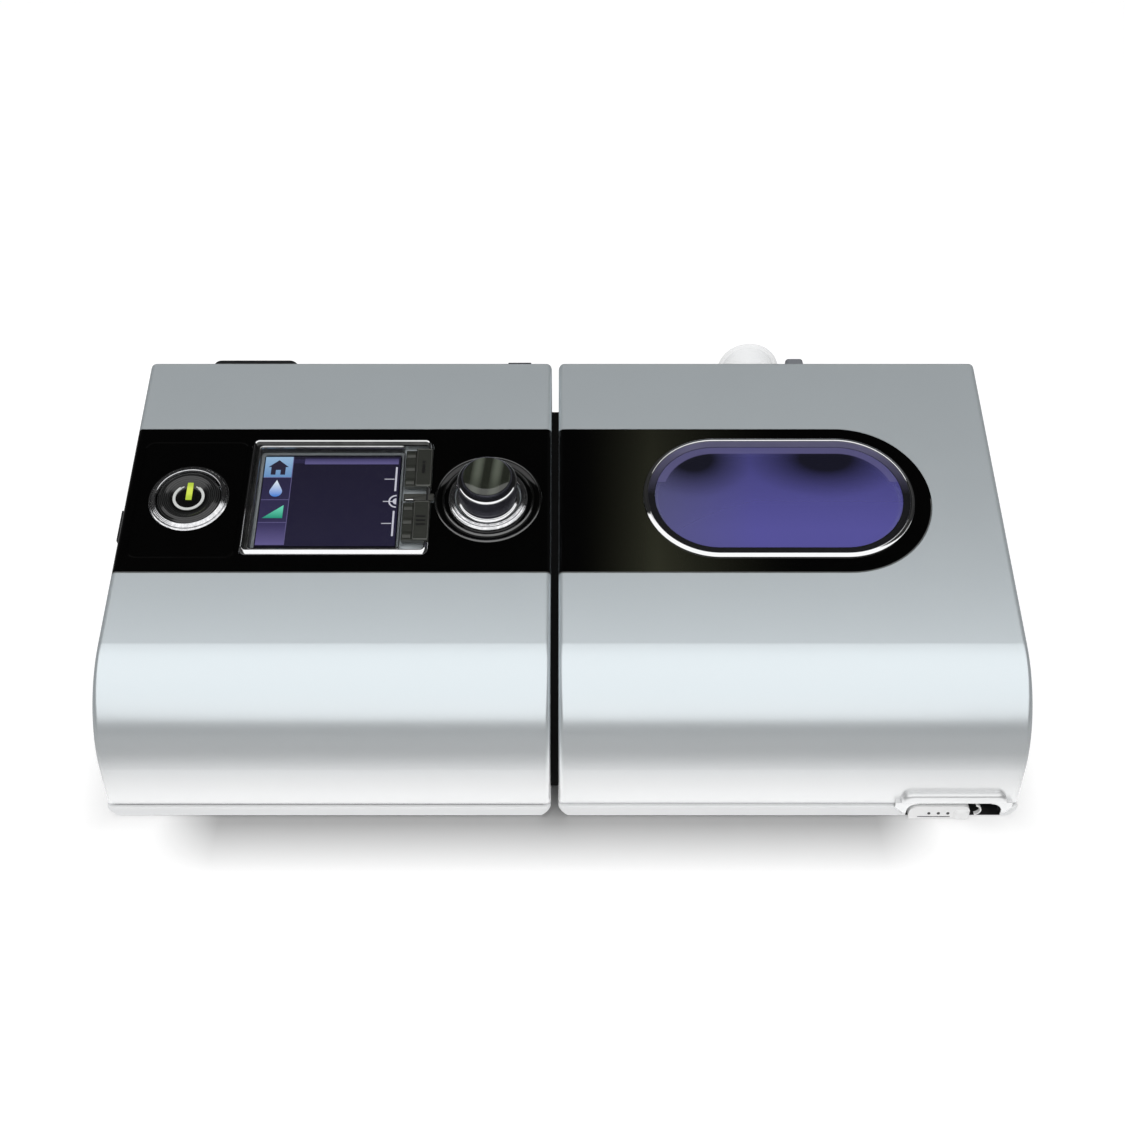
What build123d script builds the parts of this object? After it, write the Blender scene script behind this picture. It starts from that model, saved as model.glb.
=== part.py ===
from build123d import *
from math import acos, cos, pi, radians, sin, tan
import os

# A bedside breathing-therapy machine: a flow generator with a heated humidifier docked on its right.
# +X right, +Y back, +Z up, origin under the middle of the whole machine. Millimetres.

# ---- outer shape, shared by both units ----
generator_width = 140.0
humidifier_width = 145.0
unit_gap = 2.4
card_lip = 1.2          # thumb lip of the memory-card cover, standing out of the left flank
back_y = 57.0
nose_y = -75.8
body_height = 86.3      # over the rounded back edge
top_slope = 17.5        # degrees, falling to the front
nose_radius = 33.0
nose_draft = 0.5        # degrees, the front leans back below the nose
parting_z = 5.0         # shells above, trays below
tray_bottom = 0.4
tray_proud = 1.2        # the trays' fronts stand out past the shells
tray_lip = 0.5          # rounding of that ledge
tray_round = 1.2        # of their lower edges
generator_groove = 0.5  # the shadow line under each shell
humidifier_groove = 0.1
groove_deep = 0.8
edge_round = 1.8
ridge_round = 0.9       # of the back edge
wall = 3.0
tray_wall = 2.6
tray_floor = 2.0
tray_chamfer = 3.6
foot_radius = 6.0
foot_height = 1.3
foot_chamfer = 0.5
foot_rows = (-56.0, 40.0)
boss_inset = 9.0
boss_radius = 3.5
screw_radius = 1.3
screw_length = 10.0
screw_head = 2.7
screw_head_high = 1.2
screw_recess = 0.3
cross_reach = 1.6
cross_half = 0.3
cross_deep = 0.9
rim = 5.0               # silver rim left around each docking face
rib_inset = 6.5         # a rib in the docking gap, from the outside of the units
rib_width = 1.8
rib_room = 0.3          # between it and the generator's docking panel

# ---- the black band across the top, and what sits in it; t runs down the slope from the back edge ----
band_start = 30.1
band_end = 88.8
fascia_thick = 1.5
seam = 0.12
outline = (3.8, 38.4, 35.9, 83.0)      # faint rounded frame line around the start button
outline_line = 0.35
start_x = 21.1
start_t = 59.5
start_ring_radius = 13.1
start_cap_radius = 10.55
key_gap = 0.2
press_gap = 0.3         # between a button's flange and the panel that holds it
press_travel = 0.5
bezel_x = (39.6, 100.5)
bezel_t = (35.9, 81.9)
window_x = (42.9, 91.0)
window_t = (39.1, 79.8)
bezel_high = 1.6
rim_line = 1.1
display_ledge = 1.0
key_x = (91.6, 100.5)
key_split = 95.1
upper_key_t = (39.7, 55.4)
lower_key_t = (61.3, 77.0)
bar_width = 3.0
dial_x = 119.3
dial_t = 59.4
dial_ring_radius = 17.65
dial_well = 10.9
knob_radius = 9.7
knob_high = 9.2
glass_radius = 8.0
glass_high = 12.5
shaft_radius = 3.0
board_depth = 9.0       # the control board's upper face, below the panel's surface
board_thick = 1.6
board_x = (6.0, 134.5)
board_t = (34.0, 85.0)
control_post_radius = 2.2
control_screw_radius = 1.0
control_screw_head = 1.9
switch_half = 3.0
encoder_half = 7.0
run_fit = 0.05

# ---- flow generator, the rest ----
boss_rows = (-60.0, 48.0)
rear_boss_inset = 22.0  # from the docking side; it stands clear of the power inlet
main_board_z = 7.6
main_board_span = (5.0, 48.0)
main_board_y = (-53.0, 11.0)
main_socket_y = (-39.0, -34.5)
main_socket_high = 4.5
board_post_radius = 2.5
ribbon_span = (37.0, 48.0)
ribbon_t = 80.0
ribbon_socket_high = 2.6
ribbon_thick = 0.5
card_size = (32.0, 24.0, 2.1)
card_t = 68.0
card_room = 0.3         # between the control board and the card below it
card_notch = (4.5, 2.2)
cover_half = 14.2
cover_below = 7.0       # the cover's lower edge, below the card
cover_thick = 1.6
cover_gap = 0.2
cover_pin_radius = 0.6
filter_x = (20.7, 50.7)
filter_bottom = 42.0
filter_drop = 1.6       # its top, below the sharp back edge
filter_stands = 4.6
inlet_inset = 11.3      # from the docking side
inlet_z = 60.0
jack_radius = 5.2
jack_bore = 3.4
bracket_width = 8.0
bracket_z = (52.0, 76.0)
bracket_thick = 1.2
arch_drop = 5.4         # the bracket's arch, below the sharp back edge
arch_radius = 3.9
clip_drop = 7.6         # the cord clip's pivot, below the sharp back edge
clip_reach = 3.4
clip_pin_radius = 0.6
blower_radius = 30.0
blower_z = (14.0, 30.0, 44.0)          # bottom, split, top
blower_wall = 2.0
impeller_radius = 23.5
eye_radius = 11.0
motor_shaft_radius = 1.5
sleeve_reach = 3.0      # the volute's outlet sleeve, past its round wall
duct_wall = 1.3
duct_loose = 1.5        # between the sleeve and the rising duct around it
duct_bend_room = 1.7    # from the duct's outside to the centre of its bends
duct_straight = 0.3     # bends end this far short of meeting, measured on their radius
bearing_radius = 4.5
bearing_high = 3.0
bearing_tube = 6.0
bearing_tube_high = 12.0
stator_radius = 15.0
stator_high = 9.0
stator_slots = 9
blades = 11
mount_radius = 25.0
mount_bore = 19.0
port_y = 18.0
port_room = 0.8         # between the port and the tub lid's lower edge
spigot_radius = 8.6
duct_room = 1.1         # around the spigot, inside the duct
spigot_deep = 7.0
prong_places = ((-52.0, 14.0), (36.0, 26.0))
prong_size = (4.0, 9.0, 8.0)           # width, height, reach past the gap
plug_place = (-12.0, 20.0)
plug_size = (13.8, 5.8, 6.0)
plug_room = 0.5

# ---- humidifier ----
band_arc_x = 93.1
ring_x = (27.9, 116.8)
ring_t = (34.5, 82.9)
ring_width = 3.7
ring_high = 1.2
hinge_inset = 4.0       # the lid's axis, in front of the back face
hinge_drop = 4.8        # and below the sharp back edge
hinge_radius = 2.4
pin_radius = 1.2
knuckle_x = (12.0, 15.0, 15.3, 22.0)   # arm from and to, knuckle from and to
skirt_drop = 2.6        # the lid's rear skirt ends this far below the axis
back_drop = 5.0         # the back wall ends this far below the axis
lid_seam = 0.25
tub_x = (20.0, 134.0)
tub_back = 36.0
tub_inset = 11.0
tub_z = (9.6, 33.0)
tub_wall = 2.0
tub_lid_inset = 8.5
tub_corner = 6.0
tub_room = 0.3          # around the tub, in the chassis
well_wall = 2.2
well_top = 24.0
deck_thick = 2.2
plate_x = (34.0, 120.0)
plate_y = (-48.0, 24.0)
plate_corner = 6.0
element_thick = 1.4
element_runs = 5
vent_half = 8.0
vent_z = (54.0, 64.0)
vent_duct_wall = 2.0
hum_boss_x = (9.0, 137.5)
hum_boss_rows = (-58.0, 47.0)
hum_boss_top = 16.0
seal_thick = 1.6
outlet_x = 68.8
outlet_drop = 15.0      # its axis, below the sharp back edge
outlet_radius = 11.0
outlet_wall = 1.7
outlet_reach = 19.5     # past the back face
throat_drop = 1.4
throat_radius = 5.6
connector_width = 6.2
connector_room = 1.0    # between it and the outlet, for the hose's cuff
connector_drop = 5.0    # its top, below the sharp back edge
latch_slot = (109.6, 139.5)
latch_x = (110.4, 129.6)
latch_z = (1.3, 5.7)
latch_round = 2.2
latch_front = -77.5
latch_room = 0.1        # below the slider, over the pocket's floor
hood_x = (107.6, 141.0)
hood_z = (6.5, 10.7)
hood_front = -77.6
leg_x = ((105.9, 108.6), (142.6, 140.5))   # the lid's legs beside the latch, each at its top and its tip
leg_y = (-77.2, -73.1)
leg_low = 2.6
leg_arch = (3.4, 3.1)   # the slot's rounded upper corners, along and down
latch_pocket_back = -70.3
tab_front = -78.4
tab_width = 5.0
tab_z = (0.3, 4.2)
spring_wire = 0.28
spring_radius = 1.1
spring_coils = 5

# ---- worked out from the above ----
slope = radians(top_slope)
draft = radians(nose_draft)
total_width = generator_width + unit_gap + humidifier_width + card_lip
left_x = card_lip - total_width / 2
dock_x = left_x + generator_width
hum_x = dock_x + unit_gap
right_x = hum_x + humidifier_width
arc_y = nose_y + nose_radius
top_z = body_height + ridge_round * (tan(slope) + 1 / cos(slope) - 1)
arc_z = top_z - (back_y - arc_y + nose_radius * sin(slope)) * tan(slope) - nose_radius * cos(slope)
panel = Plane(origin=(0, back_y, top_z), x_dir=(1, 0, 0), z_dir=(0, -sin(slope), cos(slope)))
flange_top = -wall - press_gap
stem_low = flange_top - 1.2
switch_top = stem_low - press_travel - 0.1
board_low = -board_depth - board_thick
card_depth = card_room + card_size[2] - board_low
cover_deep = card_depth + cover_below
duct_bore = spigot_radius + duct_room - duct_loose
duct_outside = duct_bore + duct_loose + duct_wall
duct_bend = duct_outside + duct_bend_room
port_z = tub_z[1] + seal_thick + spigot_radius + port_room
duct_turn = acos(1 - (port_z - blower_z[1]) / (2 * (duct_bend + duct_straight)))
duct_run = 2 * (duct_bend + duct_straight) * sin(duct_turn)
blower_x = generator_width - wall - blower_radius - sleeve_reach - duct_run - 3 * press_gap
foot_inset = boss_inset + screw_head + foot_radius + 0.3
deck_top = parting_z + deck_thick
hinge_y = back_y - hinge_inset
hinge_z = top_z - hinge_drop
skirt_z = hinge_z - skirt_drop
back_top = hinge_z - back_drop
outlet_z = top_z - outlet_drop
throat_z = outlet_z - throat_drop
outlet_tip = back_y + outlet_reach
filter_z = (filter_bottom, top_z - filter_drop)
from_base = (Align.CENTER, Align.CENTER, Align.MIN)
far = 400.0


# ---- shapes used again and again ----
def box_at(x0, x1, y0, y1, z0, z1):
    return Pos((x0 + x1) / 2, (y0 + y1) / 2, (z0 + z1) / 2) * Box(x1 - x0, y1 - y0, z1 - z0)


def rod_x(x0, x1, y, z, radius):
    return Pos(x0, y, z) * Rot(0, 90, 0) * Cylinder(radius, x1 - x0, align=from_base)


def rod_y(y0, y1, x, z, radius):
    return Pos(x, y0, z) * Rot(-90, 0, 0) * Cylinder(radius, y1 - y0, align=from_base)


def rod_z(z0, z1, x, y, radius):
    return Pos(x, y, z0) * Cylinder(radius, z1 - z0, align=from_base)


def on_panel(x, t, n=0.0):
    return panel * Pos(x, -t, n)


def panel_box(x0, x1, t0, t1, n0, n1):
    return panel * box_at(x0, x1, -t1, -t0, n0, n1)


def panel_rod(x, t, radius, n0, n1):
    return on_panel(x, t, n0) * Cylinder(radius, n1 - n0, align=from_base)


def panel_plate(x_span, t_span, corner, n0, n1):
    face = RectangleRounded(x_span[1] - x_span[0], t_span[1] - t_span[0], corner)
    return on_panel(sum(x_span) / 2, sum(t_span) / 2, n0) * extrude(face, n1 - n0)


def panel_slot(x_span, t_span, n0, n1):
    face = SlotOverall(x_span[1] - x_span[0], t_span[1] - t_span[0])
    return on_panel(sum(x_span) / 2, sum(t_span) / 2, n0) * extrude(face, n1 - n0)


def panel_turned(x, t, outline_points):
    face = make_face(Polyline(*outline_points, close=True))
    return on_panel(x, t) * revolve(Plane.XZ * face, Axis.Z)


def grown(span, by):
    return (span[0] - by, span[1] + by)


def from_edge(edge, span):
    return (edge + span[0], edge + span[1])


def at_depth(t, n):
    """The y and z of a place on the sloping panel."""
    return (back_y - t * cos(slope) - n * sin(slope), top_z - t * sin(slope) + n * cos(slope))


def front_line(z, inset=0.0):
    """The y of the front wall at height z, below the nose arc."""
    reach = nose_radius - inset
    return arc_y - reach * cos(draft) + (arc_z - reach * sin(draft) - z) * tan(draft)


def side_face(inset, floor, rear=None):
    """The side profile of a unit, moved inwards by inset, down to the floor height."""
    reach = nose_radius - inset
    back = back_y - inset if rear is None else rear
    ceiling = top_z - (back_y - back) * tan(slope) - inset / cos(slope)
    arc_top = (arc_y - reach * sin(slope), arc_z + reach * cos(slope))
    arc_end = (arc_y - reach * cos(draft), arc_z - reach * sin(draft))
    middle = (pi / 2 + slope + pi + draft) / 2
    arc_middle = (arc_y + reach * cos(middle), arc_z + reach * sin(middle))
    lines = Polyline(arc_top, (back, ceiling), (back, floor), (front_line(floor, inset), floor), arc_end)
    return make_face(lines + ThreePointArc(arc_end, arc_middle, arc_top))


def side_prism(x0, x1, inset, floor, rear=None):
    return Pos(x0, 0, 0) * extrude(Plane.YZ * side_face(inset, floor, rear), x1 - x0)


def unit_block(x0, x1, floor):
    """The whole outside of one unit above its tray, with its edges rounded."""
    block = side_prism(x0, x1, 0, floor)
    flank_edges = [e for f in block.faces().filter_by(Axis.X) for e in f.edges()]
    rims = [e for e in flank_edges if e.center().Z > floor + 0.1]
    block = fillet(rims, edge_round)
    return fillet(block.edges().filter_by(Axis.X).sort_by(Axis.Z)[-1], ridge_round)


def strip_face(points, thick):
    """A thin band of even thickness along a bent line."""
    upper, lower = [], []
    for i, point in enumerate(points):
        before = Vector(*points[max(i - 1, 0)])
        after = Vector(*points[min(i + 1, len(points) - 1)])
        along = (after - before).normalized()
        side = Vector(-along.Y, along.X) * (thick / 2)
        upper.append(Vector(*point) + side)
        lower.append(Vector(*point) - side)
    return make_face(Polyline(*upper, *reversed(lower), close=True))


# ---- trays, feet and their screws ----
def base_tray(x0, x1, groove):
    front = front_line(parting_z)
    body = box_at(x0, x1, front - tray_proud, back_y, tray_bottom, parting_z - groove)
    body = fillet(body.edges().filter_by(Axis.Z), edge_round)
    body = fillet(body.faces().sort_by(Axis.Z)[0].edges(), tray_round)
    body = fillet(body.faces().sort_by(Axis.Z)[-1].edges(), tray_lip)
    body = body - side_cut(x0, 1) - side_cut(x1, -1)
    body += box_at(x0 + groove_deep, x1 - groove_deep, front + groove_deep, back_y - groove_deep,
                   tray_bottom + tray_floor, parting_z)
    return body - box_at(x0 + tray_wall, x1 - tray_wall, front + tray_wall, back_y - tray_wall,
                         tray_bottom + tray_floor, parting_z + 1)


def side_cut(x, inward):
    """The wedge that chamfers a tray's lower side edge."""
    corner = (x - inward, tray_bottom - 1)
    face = make_face(Polyline(corner, (x + inward * (tray_chamfer + 1), tray_bottom - 1),
                              (x - inward, tray_bottom + tray_chamfer + 1), close=True))
    wedge = extrude(Plane.XZ * face, far, both=True)
    return wedge


def foot_places(x0, x1):
    return [(x, y) for x in (x0 + foot_inset, x1 - foot_inset) for y in foot_rows]


def feet(x0, x1):
    pads = [rod_z(0, foot_height, x, y, foot_radius) for x, y in foot_places(x0, x1)]
    return Compound(children=[chamfer(pad.edges().sort_by(Axis.Z)[0], foot_chamfer) for pad in pads])


def foot_cuts(x0, x1):
    return [rod_z(0, foot_height, x, y, foot_radius + seam) for x, y in foot_places(x0, x1)]


def case_screw(x, y):
    head_low = tray_bottom + screw_recess
    head_top = head_low + screw_head_high
    head = rod_z(head_low, head_top, x, y, screw_head)
    for reach_x, reach_y in ((cross_reach, cross_half), (cross_half, cross_reach)):
        head -= box_at(x - reach_x, x + reach_x, y - reach_y, y + reach_y,
                       tray_bottom, tray_bottom + cross_deep)
    return head + rod_z(head_top, head_top + screw_length, x, y, screw_radius)


def screw_cuts(x, y):
    head_top = tray_bottom + screw_recess + screw_head_high
    return [rod_z(0, head_top, x, y, screw_head + 0.2),
            rod_z(0, head_top + screw_length + 1, x, y, screw_radius + run_fit)]


boss_left, boss_right = left_x + boss_inset, dock_x - boss_inset
generator_bosses = [(boss_left, boss_rows[0]), (boss_right, boss_rows[0]), (boss_left, boss_rows[1]),
                    (dock_x - rear_boss_inset, boss_rows[1])]
humidifier_bosses = [(hum_x + x, y) for x in hum_boss_x for y in hum_boss_rows]
board_posts = [(left_x + x, y) for x in (main_board_span[0] + 4, main_board_span[1] - 2)
               for y in (main_board_y[0] + 5, main_board_y[1] - 5)]

fg_base_tray = base_tray(left_x, dock_x, generator_groove)
for x, y in generator_bosses:
    fg_base_tray += rod_z(tray_bottom, parting_z, x, y, boss_radius)
for x, y in board_posts:
    fg_base_tray += rod_z(tray_bottom, main_board_z, x, y, board_post_radius)
for cut in foot_cuts(left_x, dock_x) + [c for place in generator_bosses for c in screw_cuts(*place)]:
    fg_base_tray -= cut
fg_feet = feet(left_x, dock_x)

hum_base_tray = base_tray(hum_x, right_x, humidifier_groove)
for x, y in humidifier_bosses:
    hum_base_tray += rod_z(tray_bottom, parting_z, x, y, boss_radius)
hood_span = from_edge(hum_x, hood_x)
latch_span = from_edge(hum_x, latch_slot)
hum_base_tray += box_at(*hood_span, front_line(parting_z) + 1, latch_pocket_back + 2, tray_bottom, parting_z)
for cut in foot_cuts(hum_x, right_x) + [c for place in humidifier_bosses for c in screw_cuts(*place)]:
    hum_base_tray -= cut
hum_base_tray -= box_at(*latch_span, -far, latch_pocket_back, latch_z[0] - latch_room, parting_z + 1)


def leg(side, grow=0.0):
    """One leg of the lid, beside the latch: slanted outside, and arched towards the slot."""
    outward = (-1, 1)[side]
    slot_end = hum_x + latch_slot[side]
    top, tip = (hum_x + x + outward * grow for x in leg_x[side])
    low, high = leg_low - grow, hood_z[0]
    if grow:
        outline = Polyline((slot_end, high), (slot_end, low), (tip, low), (top, parting_z), (top, high),
                           close=True)
    else:
        along, down = leg_arch
        start, end = (slot_end, high - down), (slot_end - outward * along, high)
        middle = (slot_end - outward * along * (1 - cos(pi / 4)), high - down * (1 - sin(pi / 4)))
        outline = Polyline(start, (slot_end, low), (tip, low), (top, parting_z), (top, high + 0.5),
                           (end[0], high + 0.5), end) + ThreePointArc(end, middle, start)
    y0, y1 = (-far, leg_y[1] + grow) if grow else leg_y
    return Pos(0, y1, 0) * extrude(Plane.XZ * make_face(outline), y1 - y0)


for side in (0, 1):
    hum_base_tray -= leg(side, lid_seam)
hum_feet = feet(hum_x, right_x)

# ---- the flow generator's case ----
fg_block = unit_block(left_x, dock_x, parting_z)
dock_opening_rear = back_y - 13.0


def band_slab(x0, x1, n0, gap=0.0):
    return panel_box(x0, x1, band_start + gap, band_end - gap, n0, 5)


def press_hole_keys(span_t):
    return panel_plate(from_edge(left_x, grown(key_x, -0.8)), grown(span_t, -0.8), 0.8, -wall - 1, 2)


fg_inside = side_prism(left_x + wall, dock_x - wall, wall, parting_z - 1)
fg_upper_case = fg_block - fg_inside
fg_upper_case -= band_slab(left_x - 5, dock_x + 5, -fascia_thick)
for x, y in generator_bosses:
    fg_upper_case += rod_z(parting_z, far, x, y, boss_radius) & fg_inside
for x, y in generator_bosses:
    fg_upper_case -= screw_cuts(x, y)[1]
post_places = ((9.5, 37.0), (9.5, 51.0), (103.5, 37.0), (103.5, 82.0), (131.0, 82.0))
control_posts = [(left_x + x, t) for x, t in post_places]
for x, t in control_posts:
    fg_upper_case += panel_rod(x, t, control_post_radius, -board_depth, -wall)
for x, t in control_posts:
    fg_upper_case -= panel_rod(x, t, control_screw_radius + run_fit, -board_depth - 1, -wall - 0.5)
start_place = (left_x + start_x, start_t)
dial_place = (left_x + dial_x, dial_t)
fg_upper_case -= panel_rod(*start_place, start_cap_radius + key_gap, -wall - 1, 2)
fg_upper_case -= panel_rod(*dial_place, 5.2, -wall - 1, 2)
window_span = from_edge(left_x, window_x)
fg_upper_case -= panel_plate(grown(window_span, -display_ledge), grown(window_t, -display_ledge),
                             1.0, -wall - 1, 2)
for span in (upper_key_t, lower_key_t):
    fg_upper_case -= press_hole_keys(span)
fg_upper_case -= side_prism(dock_x - wall - 1, dock_x + 1, rim, parting_z - 1, dock_opening_rear)
cover_t = (card_t - cover_half, card_t + cover_half)
fg_upper_case -= panel_box(left_x - 1, left_x + wall + 1, *cover_t, -cover_deep - 0.9, -wall)
cover_pivot_n = -cover_deep + 0.8
cover_pivot_x = left_x + 1.2
for t_end, outward in ((cover_t[0], -1), (cover_t[1], 1)):
    low, high = sorted((t_end - outward * 0.5, t_end + outward * 1.5))
    fg_upper_case -= panel * Pos(cover_pivot_x, -low, cover_pivot_n) * Rot(90, 0, 0) * \
        Cylinder(cover_pin_radius + run_fit, high - low, align=from_base)
filter_hole_x = grown(from_edge(left_x, filter_x), -1.6)
filter_hole_z = (filter_z[0] + 0.8, filter_z[1] - 5.0)
fg_upper_case -= box_at(*filter_hole_x, back_y - wall - 1, back_y + 1, *filter_hole_z)
fg_upper_case -= rod_y(back_y - wall - 1, back_y + 1, dock_x - inlet_inset, inlet_z, jack_radius + 0.2)

fg_fascia = fg_block & band_slab(left_x - 5, dock_x + 5, -fascia_thick, seam)
fg_fascia -= panel_rod(*start_place, start_ring_radius + 0.1, -wall, 2)
fg_fascia -= panel_rod(*dial_place, dial_ring_radius + 0.1, -wall, 2)
fg_fascia -= panel_plate(grown(from_edge(left_x, bezel_x), 0.1), grown(bezel_t, 0.1), 2.1, -wall, 2)
bar_t = (dial_t - bar_width / 2, dial_t + bar_width / 2)
bar_x = (left_x + bezel_x[1] - 1, dial_place[0] - dial_ring_radius)
fg_fascia -= panel_box(*bar_x, *grown(bar_t, 0.1), -wall, 2)
outline_x = from_edge(left_x, outline[:2])
outline_t = outline[2:]
outline_cut = panel_plate(outline_x, outline_t, 3.0, -0.2, 1)
outline_cut -= panel_plate(grown(outline_x, -outline_line), grown(outline_t, -outline_line), 2.7, -1, 2)
fg_fascia -= outline_cut

duct_end = dock_x - wall - 0.3
fg_dock_panel = side_prism(duct_end, dock_x - 0.6, rim + 0.2, parting_z + 0.1, dock_opening_rear - 0.2)


def plug(x0, x1, grow):
    y, z = plug_place
    half_w, half_h = plug_size[0] / 2 + grow, plug_size[1] / 2 + grow
    return box_at(x0, x1, y - half_w, y + half_w, z - half_h, z + half_h)


def prong(y, z, grow=0.0, reach=0.0):
    half_w, half_h = prong_size[0] / 2 + grow, prong_size[1] / 2 + grow
    return box_at(dock_x - prong_size[2] - reach, hum_x + 1, y - half_w, y + half_w, z - half_h, z + half_h)


fg_dock_panel -= rod_x(dock_x - 5, dock_x + 1, port_y, port_z, spigot_radius + 0.6)
for y, z in prong_places:
    fg_dock_panel -= prong(y, z, 0.4, 2)
fg_dock_panel += plug(dock_x - plug_size[2] - 3, dock_x - wall - 0.3, plug_room + 1.6)
fg_dock_panel -= plug(dock_x - plug_size[2] - 2, dock_x + 1, plug_room)

fg_screws = Compound(children=[case_screw(x, y) for x, y in generator_bosses] + [
    panel_rod(x, t, control_screw_radius, board_low, -board_depth + 4) +
    panel_rod(x, t, control_screw_head, board_low - 1.2, board_low)
    for x, t in control_posts])

# ---- start button ----
start_ring = panel_turned(*start_place, [
    (start_cap_radius + key_gap, -fascia_thick), (start_ring_radius, -fascia_thick),
    (start_ring_radius, 0.35), (start_ring_radius - 0.25, 0.95), (start_ring_radius - 0.8, 1.35),
    (start_ring_radius - 1.4, 1.4), (start_ring_radius - 1.9, 1.1), (start_cap_radius + key_gap, 0.4)])
cap_flange = start_cap_radius + 1.05
cap_top = [(0, 0.35), (4.0, 0.45)]
cap_top += [(start_cap_radius - inward, high) for inward, high in
            ((3.35, 0.95), (2.65, 1.3), (2.05, 1.4), (1.15, 1.15), (0.35, 0.6), (0, 0.1), (0, flange_top))]
start_button = panel_turned(*start_place, cap_top + [
    (cap_flange, flange_top), (cap_flange, flange_top - 1.0), (1.8, flange_top - 1.0),
    (1.8, stem_low), (0, stem_low)])
symbol_ring = 5.5
symbol_line = 0.85
symbol_low, symbol_high = -0.35, 0.62
guide_ring = panel_rod(*start_place, symbol_ring, symbol_low, symbol_high)
guide_ring -= panel_rod(*start_place, symbol_ring - symbol_line, symbol_low - 1, symbol_high + 1)
guide_ring -= panel_box(start_place[0] - 2.0, start_place[0] + 2.0, start_t - 8, start_t, symbol_low - 1, 2)
guide_bar = panel_box(start_place[0] - 0.95, start_place[0] + 0.95, start_t - 6.6, start_t + 0.7,
                      symbol_low, symbol_high + 0.15)
start_button -= guide_ring + guide_bar
start_light_guide = Compound(children=[guide_ring, guide_bar])


# ---- screen and keys ----
def key(span_t):
    """One key: a raised block on the right, a lower strip beside it, a neck, a flange and a stem."""
    x_span = from_edge(left_x, key_x)
    split = left_x + key_split
    low = -fascia_thick + press_travel + 0.2
    cap = panel_box(split, x_span[1], *span_t, low, bezel_high)
    cap = chamfer(cap.edges().filter_by(lambda e: e.length > 3), 0.35)
    strip = panel_box(x_span[0], split + 0.6, span_t[0] + 0.3, span_t[1] - 0.3, low, bezel_high - 0.7)
    strip = chamfer(strip.edges().filter_by(lambda e: e.length > 3), 0.25)
    neck = panel_box(*grown(x_span, -1.1), *grown(span_t, -1.1), flange_top - 0.5, low + 0.4)
    foot = panel_box(*grown(x_span, -1.1), *grown(span_t, -0.3), flange_top - 1.0, flange_top)
    stem = panel_rod(sum(x_span) / 2, sum(span_t) / 2, 1.6, stem_low, flange_top)
    return cap + strip + neck + foot + stem


info_key = key(upper_key_t)
setup_key = key(lower_key_t)

bezel_span = from_edge(left_x, bezel_x)
screen_bezel = panel_plate(bezel_span, bezel_t, 2.0, -fascia_thick, bezel_high)
channel_low = bezel_high - 0.9
channel = panel_plate(grown(bezel_span, -rim_line), grown(bezel_t, -rim_line),
                      1.2, channel_low, bezel_high + 1)
channel -= panel_plate(grown(window_span, 0.9), grown(window_t, 0.9), 1.6, 0, bezel_high + 2)
screen_bezel -= channel
screen_bezel -= panel_plate(window_span, window_t, 1.0, -wall, bezel_high + 1)
for span in (upper_key_t, lower_key_t):
    key_space = (left_x + key_x[0] - key_gap, left_x + key_x[1] + 5)
    screen_bezel -= panel_box(*key_space, *grown(span, key_gap), -wall, 5)
screen_bezel += panel_box(bar_x[0], bar_x[1] - 0.1, *bar_t, -fascia_thick, bezel_high - 0.6)
screen_lens = panel_plate(grown(window_span, -0.1), grown(window_t, -0.1), 0.9, -fascia_thick, 0.3)
lcd_module = panel_plate(grown(window_span, -display_ledge - 0.2), grown(window_t, -display_ledge - 0.2), 0.9,
                         -board_depth, -fascia_thick - 0.1)

# ---- dial ----
ring_outer = [(dial_ring_radius - inward, high) for inward, high in
              ((0, -fascia_thick), (0, 0.2), (0.3, 0.45), (0.65, 0.4), (0.95, 0.05), (2.45, -0.25))]
ring_inner = [(dial_well + outward, high) for outward, high in
              ((3.3, -0.1), (2.8, 0.6), (2.25, 1.2), (1.6, 1.35), (1.0, 1.0), (0.6, 0.2), (0, -0.5))]
dial_ring = panel_turned(*dial_place, [(dial_well, -fascia_thick)] + ring_outer + ring_inner)
knob_low = -0.7
knob_skirt = dial_well - 0.5
knob_skirt_side = [(shaft_radius + run_fit, knob_low), (knob_skirt, knob_low),
                   (knob_skirt, 1.3), (knob_skirt - 0.3, 1.9)]
knob_body = [(knob_radius - inward, high) for inward, high in (
    (0.2, 2.2), (0.6, 2.5), (0.6, 3.2), (0.25, 3.5), (0, 3.9), (0, knob_high - 1.0), (0.2, knob_high - 0.3),
    (0.7, knob_high), (1.1, knob_high - 0.1), (1.4, knob_high - 0.5))]
knob_collar = [(glass_radius + outward, knob_high + above) for outward, above in (
    (-0.4, -0.5), (-0.4, 0.9), (0, 1.3), (0.15, 1.8), (-0.2, 2.1), (-0.5, 1.9), (-0.5, 0))]
knob_outline = knob_skirt_side + knob_body + knob_collar + [(shaft_radius + run_fit, knob_high)]
dial_knob = panel_turned(*dial_place, knob_outline)
dial_cap = panel_turned(*dial_place, [
    (0, knob_high + 0.05), (glass_radius - 0.55, knob_high + 0.05), (glass_radius - 0.55, knob_high + 1.95),
    (glass_radius - 1.2, glass_high - 0.45), (glass_radius - 2.6, glass_high - 0.15), (0, glass_high)])
plunger_foot = -board_depth + 1.4
dial_shaft = panel_rod(*dial_place, shaft_radius, plunger_foot + 1.0, knob_high)
shaft_split = (dial_place[0] - 0.4, dial_place[0] + 0.4)
dial_shaft -= panel_box(*shaft_split, dial_t - 5, dial_t + 5, knob_high - 3, knob_high + 1)
dial_plunger = panel_rod(*dial_place, shaft_radius + 1.0, plunger_foot, -wall - 0.4)
dial_plunger -= panel_rod(*dial_place, shaft_radius + run_fit, plunger_foot + 0.9, 0)
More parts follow.
